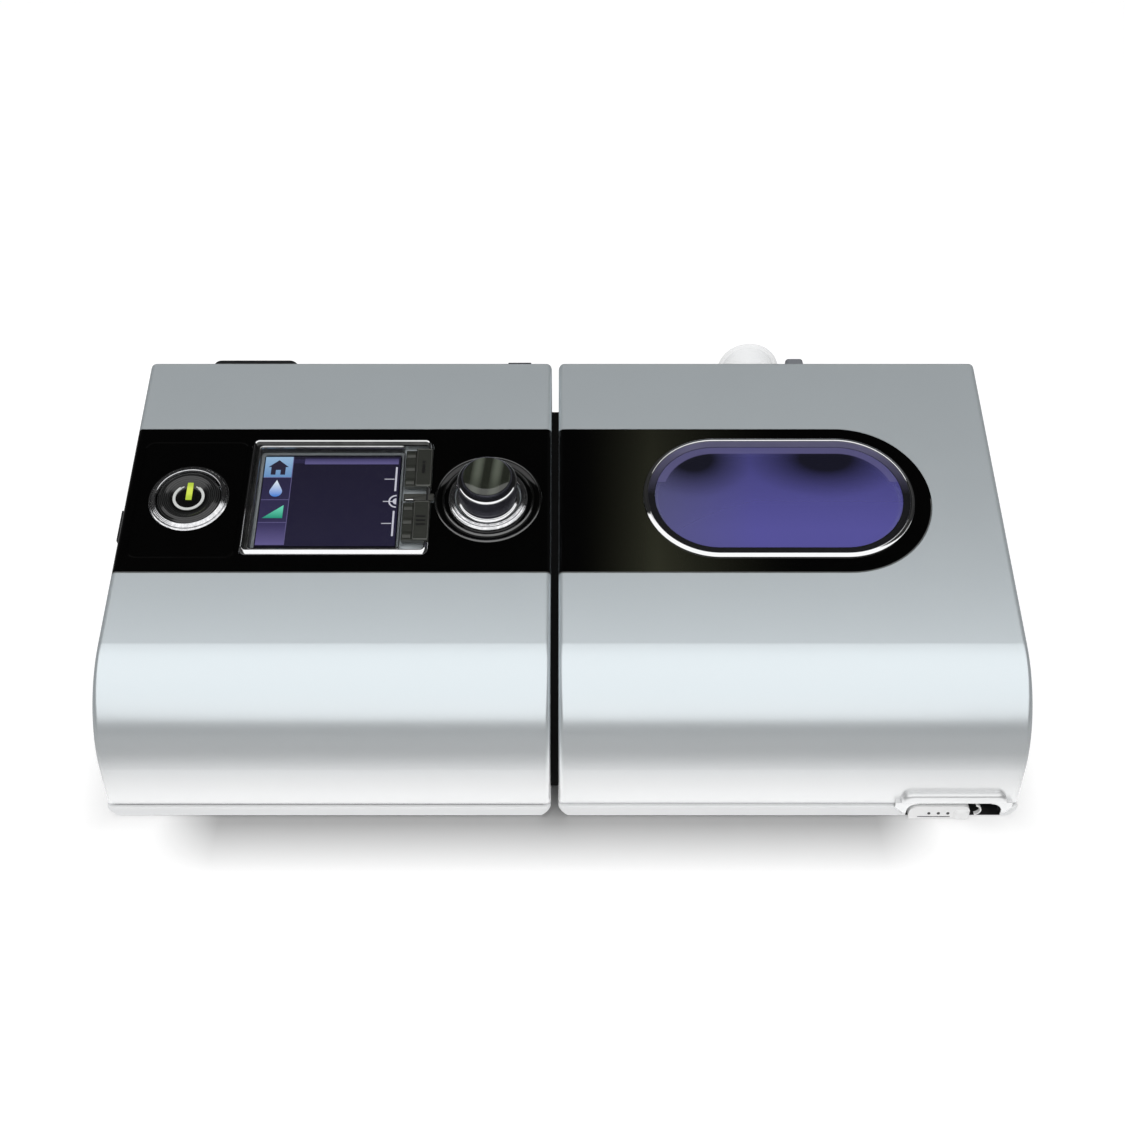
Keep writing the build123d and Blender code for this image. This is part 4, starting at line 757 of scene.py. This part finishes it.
def repeatedPiece(name, base, row, finish, body):
    # equal small shapes in a row, by Geometry Nodes; row gives count, start, step, size and turn
    tree = bpy.data.node_groups.new(name, "GeometryNodeTree")
    tree.interface.new_socket(name="Geometry", in_out="OUTPUT", socket_type="NodeSocketGeometry")
    given = {}
    for label, value in row.items():
        kind = "NodeSocketInt" if isinstance(value, int) else "NodeSocketVector"
        given[label] = tree.interface.new_socket(name=label, in_out="INPUT", socket_type=kind).identifier
    asked, line, shape, turned, placed, settled, dressed, out = (tree.nodes.new(kind) for kind in (
        "NodeGroupInput", "GeometryNodeMeshLine", "GeometryNodeMesh" + base, "FunctionNodeEulerToRotation",
        "GeometryNodeInstanceOnPoints", "GeometryNodeRealizeInstances", "GeometryNodeSetMaterial",
        "NodeGroupOutput",
    ))
    if base == "Cylinder":
        for measure in ("Radius", "Depth"):
            shape.inputs[measure].default_value = 1.0
    dressed.inputs["Material"].default_value = finish
    for source, outlet, target, inlet in (
        (asked, "count", line, "Count"), (asked, "start", line, "Start Location"),
        (asked, "step", line, "Offset"), (asked, "turn", turned, "Euler"), (asked, "size", placed, "Scale"),
        (line, "Mesh", placed, "Points"), (shape, "Mesh", placed, "Instance"),
        (turned, "Rotation", placed, "Rotation"),
        (placed, "Instances", settled, "Geometry"), (settled, "Geometry", dressed, "Geometry"),
        (dressed, "Geometry", out, "Geometry"),
    ):
        tree.links.new(source.outputs[outlet], target.inputs[inlet])
    piece = addObject(name, bpy.data.meshes.new(name))
    maker = piece.modifiers.new("repeat", "NODES")
    maker.node_group = tree
    for label, value in row.items():
        maker[given[label]] = value if isinstance(value, int) else tuple(value)
    settle(piece)
    smoothShade(piece, 30)
    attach(piece, body)


alongX = (Matrix.Rotation(slope, 3, "X") @ Matrix.Rotation(math.pi / 2, 3, "Y")).to_euler()


def screenFrame():
    # an outer bead, a dark channel and an inner bead, open on the right for the keys
    left = generatorLeft
    size = {
        "x": (39.6, 100.5), "t": (35.9, 81.9), "corner": 2.4, "ridge": (1.0, 0.25, 1.1, 1.25),
        "windowX": (42.9, 91.0), "windowT": (39.1, 79.8), "windowCorner": 1.1,
        "keys": ((39.5, 55.6), (61.1, 77.2)), "keyX": 91.4, "taller": 0.45,
    }
    west, north, east, south = size["ridge"]
    x0, x1 = (left + x for x in size["x"])
    t0, t1 = size["t"]
    outer = roundedRows((x0, x1), size["t"], size["corner"])
    ridge = roundedRows((x0 + west, x1 - east), (t0 + north, t1 - south), size["corner"] - 0.9)
    inner = roundedRows([left + x for x in size["windowX"]], size["windowT"], size["windowCorner"])
    bead = [
        (0, 0, -1.5), (0, 0, 0.08), (0, -0.1, 0.24), (1, 0.1, 1.0), (1, 0.0, 1.05), (1, -0.08, 1.05),
        (1, -0.4, 0.92), (1, -0.4, -1.5),
    ]
    channel = [
        (1, -0.41, -1.45), (1, -0.41, 0.86), (1, -0.5, 0.84), (1, -0.52, 0.3), (2, 0.3, 0.3), (2, 0.3, -1.45),
    ]
    rim = [
        (2, 0.7, -1.0), (2, 0.7, 0.95), (2, 0.62, 1.05), (2, 0.5, 1.07), (2, 0.08, 0.85), (2, 0.0, 0.7),
        (2, 0, -1.0),
    ]
    blocks = [(rectangle(left + size["keyX"], x1 + 3, *span), -3, 4) for span in size["keys"]]
    paths = (outer, ridge, inner)
    where = ("generator", "bright_chrome")
    frameRing = sweptPiece("screenBezel", paths, [bead], chrome, *where, blocks, size["taller"])
    beside = [(rectangle(left + size["windowX"][1] - 0.1, x1 + 3, t0 + 2.0, t1 - 0.6), -3, 4)]
    for name, section, plating in (
        ("screenChannel", channel, dimPlating("channelPlating", 0.25)),
        ("screenRim", rim, dimPlating("screenPlating", 0.6)),
    ):
        sweptPiece(name, paths, [section], plating, *where, beside, size["taller"])
    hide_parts("screen_bezel")
    surround = [(2, -0.01, -1.49), (2, -0.01, 0.85), (2, -0.09, 0.85), (2, -0.09, -1.49)]
    sweptPiece("screenSurround", paths, [surround], blackPlastic, "generator", "dark_plastic")


def dialBar():
    # the bar between the keys, running out to the dial
    left = generatorLeft
    size = {
        "x": (91.6, 101.55), "t": (57.95, 60.85), "low": 0.42, "high": 1.05, "curve": 0.5,
        "lip": (92.2, 95.0, 60.2, 60.85), "end": (100.6, 101.1, 58.2, 60.6),
    }
    shape = bmesh.new()
    bar = roundedRows([left + x for x in size["x"]], size["t"], 0.3, 2)
    addPad(shape, bar, size["low"], size["high"], size["curve"])
    barPlastic = mouldedPlastic("barPlastic", (0.045, 0.046, 0.04, 1), 0.35)
    smoothShade(makePiece("dialBar", shape, barPlastic, "generator"), 15)
    lip = bmesh.new()
    for (x0, x1, t0, t1), corner, low, high in (
        (size["lip"], 0.25, size["low"], size["high"] + 0.15), (size["end"], 0.2, -0.2, 0.9),
    ):
        addPad(lip, roundedRows((left + x0, left + x1), (t0, t1), corner, 3), low, high, 0.3)
    smoothShade(makePiece("dialBarEdge", lip, chrome, "generator"), 15)


def keyTrim():
    # three ribs on the strip of each key and a thin lighter edge round its block
    size = {
        "keys": (("info_key", 39.7, 55.4), ("setup_key", 61.3, 77.0)), "strip": (91.95, 94.75),
        "block": (95.25, 100.38), "inset": 0.12, "corner": 0.6, "ends": 2.3, "ribs": 3, "rib": (0.5, 1.35),
        "low": 0.88,
    }
    section = [(0, 1.2), (0, 1.5), (-0.1, 1.62), (-0.22, 1.66), (-0.36, 1.64), (-0.4, 1.5), (-0.4, 1.2)]
    edge = Finish("keyEdge", (0.2, 0.205, 0.19, 1), metallic=0.9)
    edge.set("Roughness", 0.25 + edge.noise(1.5, 2.0) * 0.15)
    left = generatorLeft
    for body, t0, t1 in size["keys"]:
        shape = bmesh.new()
        stripX = left + sum(size["strip"]) / 2
        apart = (t1 - t0 - 2 * size["ends"]) / (size["ribs"] - 1)
        ribs = {
            "count": size["ribs"], "start": onTop(stripX, t0 + size["ends"], size["low"]),
            "step": mm * apart * downSlope, "turn": alongX,
            "size": mm * Vector((*size["rib"], size["strip"][1] - size["strip"][0])),
        }
        repeatedPiece(body.replace("_key", "KeyRibs"), "Cylinder", ribs, key, body)
        inset = size["inset"]
        rows = roundedRows([left + x for x in size["block"]], (t0 + inset, t1 - inset), size["corner"], 4)
        addSweep(shape, (rows,), [(0, *point) for point in section])
        smoothShade(makePiece(body.replace("_key", "KeyTrim"), shape, edge.material, body), 15)


def windowFrame():
    # the bright ring round the lid's window, and the dark lip inside it, painted lilac along its upper part
    # as a highlight
    size = {"x": (27.9, 116.8), "t": (34.5, 82.9), "corner": 24.2, "steps": 26}
    left = humidifierLeft
    rows = roundedRows([left + x for x in size["x"]], size["t"], size["corner"], size["steps"])
    section = [
        (0, -1.5), (0, 0.38), (-0.12, 0.42), (-0.95, 0.96), (-1.05, 1.03), (-1.15, 1.05), (-1.28, 1.0),
        (-1.42, 0.92), (-1.5, 0.75), (-1.5, -1.5),
    ]
    lip = [(-1.51, -1.5), (-1.51, 0.5), (-3.6, 0.5), (-3.68, 0.42), (-3.7, 0.3), (-3.7, -1.5)]
    edge = Finish("windowLip", (0.01, 0.01, 0.012, 1), 0.2, Coat_Weight=0.4)
    haze = edge.noise(8.0, 2.0)
    lilac = edge.blend(haze * 0.4, paint(96, 94, 122), paint(70, 68, 96))
    # painted highlight: lilac on the lip's upper part, dark lower down
    edge.colour(edge.topAxes()[1].step(58, 40), (0.008, 0.008, 0.01, 1), lilac)
    sweptPiece("windowLip", (rows,), [lip], edge.material, "flip_lid", "black_gloss")
    ring = sweptPiece("windowRing", (rows,), [section], chrome, "flip_lid", "bright_chrome")
    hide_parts("window_ring")


def startRing():
    # the ring round the start button, and the symbol on its cap
    x, t, _ = startPlace
    size = {"symbol": (4.3, 5.2), "gap": (-52, 232), "sunk": 0.2, "proud": 0.06}
    section = [
        (10.75, -1.5), (10.75, 1.0), (10.9, 1.2), (11.05, 1.25), (12.25, 0.66), (12.35, 0.36), (12.9, 0.35),
        (13.1, 0.2), (13.1, -1.5),
    ]
    turned = turnedChrome("startTurned", startPlace)
    ring = sweptPiece("startRing", (circleRows(x, t),), [section], turned, "generator", "bright_chrome")
    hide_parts("start_ring")
    symbol = bmesh.new()
    guide = nodes["start_light_guide"].data.vertices
    face = max((vertex.co / mm - topEdge).dot(outwards) for vertex in guide)
    outline = arcBand(x, t, *size["symbol"], *size["gap"], 48)
    addPrism(symbol, outline, face - size["sunk"], face + size["proud"])
    makePiece("startSymbol", symbol, lightGuide("symbolRing", startPlace), "start_button")


dialRows = (circleRows(*dialPlace[:2], 128),)


def dialDish():
    # bright slope round the well, a black groove, and two dimmer beads outside it; sections are (out, n)
    dish = [
        (10.9, -1.5), (10.9, 0.95), (11.1, 1.15), (11.3, 1.2), (11.9, 0.92), (12.0, 0.7), (12.1, 0.68),
        (12.85, 0.4), (12.95, 0.3), (13.05, 0.1), (13.05, -1.5),
    ]
    beads = [
        [(14.3, -1.2), (14.3, -0.02), (14.42, 0.1), (14.5, 0.12), (15.1, -0.1), (15.2, -0.25), (15.2, -1.2)],
        [(16.65, -1.5), (16.65, 0.0), (16.85, 0.24), (17.05, 0.3), (17.35, 0.22), (17.55, 0.12), (17.65, 0.0),
         (17.65, -1.5)],
    ]
    floor = [(13.06, -1.5), (13.06, -0.5), (14.0, -0.55), (16.2, -0.4), (16.64, -0.2), (16.64, -1.5)]
    turned = turnedChrome("dialTurned", dialPlace)
    ring = sweptPiece("dialRing", dialRows, [dish], turned, "generator", "bright_chrome")
    sweptPiece("dialBeads", dialRows, beads, dimPlating("dialPlating", 0.16), "generator", "knob_dark")
    sweptPiece("dialGroove", dialRows, [floor], gloss, "generator", "black_gloss")
    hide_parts("dial_ring")


def dialKnob():
    # a plated knob: bright skirt, dark side, a light line at its shoulder, and rimmed glass on top
    high = 9.2
    skirt = [
        (3.1, -0.7), (10.4, -0.7), (10.4, 0.9), (10.3, 1.05), (9.75, 1.3), (9.7, 1.5), (9.45, 1.62),
        (9.25, 1.66), (9.1, 1.6), (9.0, 1.2), (3.1, 1.2),
    ]
    side = [
        (3.1, 1.25), (8.95, 1.25), (8.95, 2.3), (9.3, 2.6), (9.6, 3.0), (9.7, 3.6), (9.7, high),
        (9.6, high + 0.3), (9.5, high + 0.35), (3.1, high + 0.35),
    ]
    line = [
        (8.85, high + 0.2), (9.62, high + 0.37), (9.55, high + 0.5), (9.05, high + 0.8), (8.95, high + 0.8),
        (8.85, high + 0.7),
    ]
    groove = [
        (3.1, high + 0.4), (8.84, high + 0.4), (8.84, high + 0.65), (8.5, high + 0.45), (3.1, high + 0.45),
    ]
    collar = [
        (7.4, high + 0.5), (8.1, high + 0.5), (8.1, 11.2), (8.2, 11.5), (8.1, 11.8), (7.9, 11.95),
        (7.75, 11.9), (7.6, 11.7), (7.4, 11.4),
    ]
    glass = [
        (0, high + 0.5), (7.35, high + 0.5), (7.35, 11.5), (7.7, 11.85), (7.6, 12.1), (7.0, 12.3),
        (5.0, 12.42), (2.5, 12.46), (0, 12.48),
    ]
    shine = sweptPiece("knobSkirt", dialRows, [skirt, line], chrome, "dial_knob", "bright_chrome")
    sweptPiece("knobSide", dialRows, [side, collar], knobDark(), "dial_knob", "knob_dark")
    sweptPiece("knobGroove", dialRows, [groove], blackPlastic, "dial_knob", "dark_plastic")
    cap = sweptPiece("knobGlass", dialRows, [glass], knobGlass(dialPlace), "dial_knob", "knob_glass")
    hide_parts("dial_knob")
    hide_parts("dial_cap")


screen = {
    "x": (44.3, 89.5), "t": (40.8, 77.3), "levels": (-1.6, -1.57, -1.53),
    "column": 53.5, "tileEnds": (40.9, 49.7, 58.9, 68.1, 76.9), "header": (41.6, 44.0),
    "headerLine": (41.9, 43.6), "tick": (88.1, 88.7), "ticks": ((45.2, 55.2), (63.3, 73.4)),
    "dash": (84.6, 87.9), "dashes": (50.1, 59.3, 68.2), "thick": 0.28, "marker": (89.0, 59.4),
    "markerRings": ((2.1, 2.6), (0.0, 1.2)),
}


def screenPicture():
    # a lit picture under the lens: tiles and their marks on the left, and a scale on the right
    left = generatorLeft
    tints = {
        "Back": (paint(33, 30, 52), paint(36, 33, 60), (42, 76)),
        "Blue": (paint(168, 205, 240), paint(112, 158, 214), (41, 50)),
        "Navy": (paint(48, 44, 76), paint(58, 53, 92), (50, 68)),
        "Lilac": (paint(66, 60, 104), paint(108, 100, 156), (69, 77)),
        "Header": (paint(58, 54, 92), paint(104, 98, 150), (41.4, 43.4)),
        "Green": (paint(120, 236, 200), paint(28, 150, 122), (61, 66.5)),
        "Drop": (paint(232, 244, 255), paint(70, 134, 226), (51.4, 57.4)),
        "White": (paint(222, 222, 236),), "Line": (paint(112, 106, 156),), "Ink": (paint(44, 40, 60),),
    }
    look = {name: glowing("screen" + name, *tint) for name, tint in tints.items()}

    def plate(name, outlines, finish, low, high):
        shape = bmesh.new()
        for outline in outlines:
            addPrism(shape, [(left + x, t) for x, t in outline], low, high)
        makePiece(name, shape, look[finish], "generator")

    low, mid, high = screen["levels"]
    x0, x1 = screen["x"]
    column = screen["column"]
    ends = screen["tileEnds"]
    plate("screenBack", [rectangle(*screen["x"], *screen["t"])], "Back", low, mid)
    plate("screenTileTop", [rectangle(x0, column, ends[0], ends[1] - 0.2)], "Blue", mid, high)
    tiles = [rectangle(x0, column, ends[i], ends[i + 1] - 0.25) for i in (1, 2)]
    plate("screenTiles", tiles, "Navy", mid, high)
    plate("screenTileLast", [rectangle(x0, column, ends[3], ends[4])], "Lilac", mid, high)
    plate("screenHeader", [rectangle(column + 4, x1 - 0.6, *screen["header"])], "Header", mid, high)
    rules = [rectangle(x0, column, t - screen["thick"], t - 0.05) for t in ends[1:4]]
    rules.append(rectangle(column + 0.02, column + 0.22, ends[0], ends[4]))
    plate("screenRules", rules, "Line", mid, high)
    plate("screenHeaderLine", [rectangle(column + 0.3, column + 4, *screen["headerLine"])], "Navy", mid, high)
    centre = (x0 + column) / 2
    house = (
        (0, 42.3), (3.4, 45.2), (2.4, 45.2), (2.4, 48.4), (0.8, 48.4), (0.8, 46.4), (-0.8, 46.4),
        (-0.8, 48.4), (-2.4, 48.4), (-2.4, 45.2), (-3.4, 45.2),
    )
    wedge = ((-3.4, 66.2), (3.2, 61.0), (3.2, 66.2))
    drop = [(centre, 50.6)] + arcBand(centre, 55.4, 0, 2.1, -20, 200)[:21]
    plate("screenHouse", [[(centre + x, t) for x, t in house]], "Ink", high, high + 0.02)
    plate("screenDrop", [drop], "Drop", high, high + 0.02)
    plate("screenWedge", [[(centre + x, t) for x, t in wedge]], "Green", high, high + 0.02)
    ticks = [rectangle(*screen["tick"], *span) for span in screen["ticks"]]
    ticks += [rectangle(*screen["dash"], t, t + screen["thick"]) for t in screen["dashes"]]
    ticks += [arcBand(*screen["marker"], *ring, 90, 270) for ring in screen["markerRings"]]
    plate("screenTicks", ticks, "White", mid, high)


def keyMarks():
    # small raised marks in the middle of each key
    mark = mouldedPlastic("keyMark", grey(0.006), 0.3)
    marks = {
        "info_key": ((-0.5, 0.5, -2.6, -1.7), (-0.5, 0.5, -1.2, 2.4)),
        "setup_key": ((-1.6, 1.6, -1.9, -1.2), (-1.6, 1.6, -0.3, 0.4), (-1.6, 1.6, 1.3, 2.0)),
    }
    for node, bars in marks.items():
        x = highest(node).x - 2.8
        t = topPlace(node)[1]
        shape = bmesh.new()
        for x0, x1, t0, t1 in bars:
            addPrism(shape, rectangle(x + x0, x + x1, t + t0, t + t1, 0.25), 1.58, 1.66)
        makePiece(node.split("_")[0] + "KeyMark", shape, mark, node)


def latchDetails():
    # grip dots, a line, the hook beside the slider and the dark lining of its pocket
    left = humidifierLeft
    look = {
        "front": -77.5, "dots": (116.1, 3.0, 3), "dotZ": 2.7, "dot": (0.5, 0.5, 0.2),
        "line": (112.6, 122.9, 1.12, 1.36), "hook": (131.2, 3.3, 1.75, 2.2), "hookFront": -75.6,
        "slot": (109.6, 139.5), "pocket": (70.32, 70.42), "floor": (1.2, 1.25), "floorEnd": 76.8,
        "ceiling": 6.4, "sideTop": 4.6, "sideEnd": 76.6,
    }

    def face(front):
        return lambda x, z, n: mm * Vector((x, front - n, z))

    first, apart, count = look["dots"]
    dots = {
        "count": count, "start": mm * Vector((first, look["front"], look["dotZ"])),
        "step": mm * Vector((apart, 0, 0)), "size": mm * Vector(look["dot"]), "turn": (math.pi / 2, 0, 0),
    }
    repeatedPiece("latchDots", "Cylinder", dots, markPlastic, "latch")
    shape = bmesh.new()
    addPrism(shape, rectangle(*look["line"], 0.08), -0.1, 0.08, face(look["front"]))
    makePiece("latchMarks", shape, markPlastic, "latch")
    hook = bmesh.new()
    x, z, inner, outer = look["hook"]
    addPrism(hook, arcBand(left + x, z, inner, outer, -85, 80, 16), 0.0, 1.2, face(look["hookFront"]))
    makePiece("latchHook", hook, latchWhite, "latch")
    lining = bmesh.new()
    x0, x1 = (left + x for x in look["slot"])
    back, front = look["pocket"]
    low, floor = look["floor"]
    addPrism(lining, rectangle(x0, x1, floor, look["ceiling"]), back, front, face(0))
    addPrism(lining, rectangle(x0, x1, low, floor), back, look["floorEnd"], face(0))
    side = rectangle(x1 - 0.1, x1 - 0.02, floor, look["sideTop"])
    addPrism(lining, side, back, look["sideEnd"], face(0))
    makePiece("latchPocketLining", lining, blackPlastic, "humidifier")


def hiddenDetails():
    # gilt contacts below the memory card, the air filter's pleats and the shade in the groove above the tray
    _, t, n = topPlace("sd_card")
    gilt = Finish("gilt", (0.78, 0.6, 0.24, 1), metallic=1.0)
    gilt.set("Roughness", 0.2 + gilt.noise(1.0, 2.0) * 0.15)
    contacts = {
        "count": 8, "start": onTop(highest("sd_card").x - 2.6, t - 8.75, n - 1.05),
        "step": mm * 2.5 * downSlope, "size": mm * Vector((3.4, 1.5, 0.06)), "turn": (slope, 0, 0),
    }
    repeatedPiece("cardContacts", "Cube", contacts, gilt.material, "memory_card")
    low, high = lowest("air_filter"), highest("air_filter")
    edge, count = 1.9, 9
    pleats = {
        "count": count, "start": mm * Vector((low.x + edge, high.y - 0.6, (low.z + high.z) / 2)),
        "step": mm * Vector(((high.x - low.x - 2 * edge) / (count - 1), 0, 0)), "turn": (0, 0, 0),
        "size": mm * Vector((1.5, 0.55, high.z - low.z - 1.0)),
    }
    repeatedPiece("filterPleats", "Cylinder", pleats, filterFibre(), "generator")
    size = {"proud": 1.2, "ends": 2.5, "z": (4.52, 4.98), "deep": (-0.79, -0.35)}
    low, high = lowest("fg_base_tray"), highest("fg_base_tray")
    front = -low.y - size["proud"]
    groove = bmesh.new()
    strip = rectangle(low.x + size["ends"], high.x - size["ends"], *size["z"])
    back, face = (front + deep for deep in size["deep"])
    addPrism(groove, strip, back, face, lambda x, z, n: mm * Vector((x, -n, z)))
    makePiece("grooveShade", groove, dockPlastic, "generator")


screenFrame()
dialBar()
keyTrim()
windowFrame()
startRing()
dialDish()
dialKnob()
screenPicture()
keyMarks()
latchDetails()
hiddenDetails()
print("pieces")


# floor, lights and camera
studio = {
    "floor": 4.0, "near": 0.8, "far": 0.3, "pool": (8.0, 62.0), "seen": 0.48, "glow": 0.7,
    "shade": {"reach": 27.0, "middle": -4.0, "span": (129.0, 104.0), "around": 0.25, "aroundReach": 14.0},
    "mirrorPool": (0.0, 28.0), "mirrorGlow": (0.66, 0.0),
    "sky": ((0.0, 0.12), (0.35, 0.04), (1.0, 0.003)),
}


def stageFloor():
    # pale and brighter round the machine, and white to the camera except for a painted shadow in front of it
    # and faintly round it; mirrors see a painted glow near it
    shape = bmesh.new()
    half = studio["floor"] / 2
    shape.faces.new([shape.verts.new((x, y, 0)) for x, y in rectangle(-half, half, -half, half)])
    floor = meshObject("floor", shape)
    pale = Finish("floor", grey(0.8), 0.9)
    x, y, _ = pale.axes()
    low, high = (corner / mm for corner in cadBox)
    pastX = (abs(x - (low.x + high.x) / 2) - (high.x - low.x) / 2).atLeast(0)
    pastY = (abs(y - (low.y + high.y) / 2) - (high.y - low.y) / 2).atLeast(0)
    distance = (pastX * pastX + pastY * pastY).root()
    # painted pool of light: the floor's base colour is brighter near the machine
    away = distance.step(*studio["pool"])
    dim = distance.step(*studio["mirrorPool"])
    near, far, seen = (grey(studio[name]) for name in ("near", "far", "seen"))
    camera = pale.ray("Camera")
    pale.colour(camera, pale.blend(away, near, far), seen)
    mirror = pale.ray("Glossy") + pale.ray("Transmission")
    # painted shadow: less of the camera's white in front of the machine and faintly round it
    shade = studio["shade"]
    edge = lowest("fg_base_tray").y
    front = (edge - y).atLeast(0).step(shade["reach"], 2.5) * (y < edge + 30)
    front = front * abs(x - shade["middle"]).step(*shade["span"])
    around = distance.step(shade["aroundReach"], 0) * shade["around"]
    clear = 1 - front.atLeast(around)
    # painted reflection: a glow near the machine that only mirrors see
    nearMirror, farMirror = studio["mirrorGlow"]
    glow = camera * clear * studio["glow"] + mirror * (nearMirror + dim * (farMirror - nearMirror))
    pale.set("Emission Color", (1, 1, 1, 1))
    pale.set("Emission Strength", glow)
    floor.data.materials.append(pale.material)


def skyLight():
    # dim round the machine, and white to the camera
    world = bpy.data.worlds.new("studio")
    scene.world = world
    world.use_nodes = True
    world.node_tree.nodes.clear()
    sky = Shading(world.node_tree)
    height = sky.add("SeparateXYZ", inputs={0: sky.add("TexCoord", output="Generated")}, output="Z")
    stops = [(position, grey(level)) for position, level in studio["sky"]]
    dim = sky.add("Background", inputs={"Color": sky.add("ValToRGB", {"stops": stops}, {0: height})})
    white = sky.add("Background", inputs={"Color": grey(1.0)})
    seen = sky.add("MixShader", inputs={0: sky.ray("Camera"), 1: dim, 2: white})
    sky.add("OutputWorld", inputs={"Surface": seen})


def softbox(name, place, target, size, level, inMirrors):
    # in metres; level is the brightness that a mirror shows
    lamp = bpy.data.lights.new(name, "AREA")
    lamp.shape = "RECTANGLE"
    lamp.size, lamp.size_y = size
    lamp.energy = level * math.pi * size[0] * size[1]
    box = addObject(name, lamp)
    box.location = place
    box.rotation_euler = (Vector(target) - Vector(place)).to_track_quat("-Z", "Y").to_euler()
    box.visible_glossy = inMirrors
    box.visible_camera = False


def placeCamera():
    view = {"place": (0.6, -418.5, 371.66), "down": 38.2, "lens": 50.35, "sensor": 36.0}
    camera = bpy.data.cameras.new("camera")
    camera.lens = view["lens"]
    camera.sensor_width = view["sensor"]
    camera.clip_end = 20
    holder = addObject("camera", camera)
    holder.location = mm * Vector(view["place"])
    holder.rotation_euler = (math.radians(90 - view["down"]), 0, 0)
    scene.camera = holder


lamps = {
    "keySoftbox": ((0.0, -1.95, 1.2), (0, -1.95, 0), (2.8, 4.34), 1.09, True),
    "topFill": ((0.0, 0.75, 1.3), (0, 0, 0.05), (2.6, 1.3), 1.0, False),
    "frontFill": ((0.0, -1.8, 0.5), (0, 0, 0.03), (2.4, 0.6), 1.3, False),
    "leftFill": ((-1.5, -0.2, 0.9), (0, 0, 0.05), (1.2, 1.2), 0.5, False),
    "rightFill": ((1.5, -0.2, 0.9), (0, 0, 0.05), (1.2, 1.2), 0.5, False),
}
stageFloor()
skyLight()
for name, lamp in lamps.items():
    softbox(name, *lamp)
placeCamera()
scene.view_settings.view_transform = "Standard"

print("done")
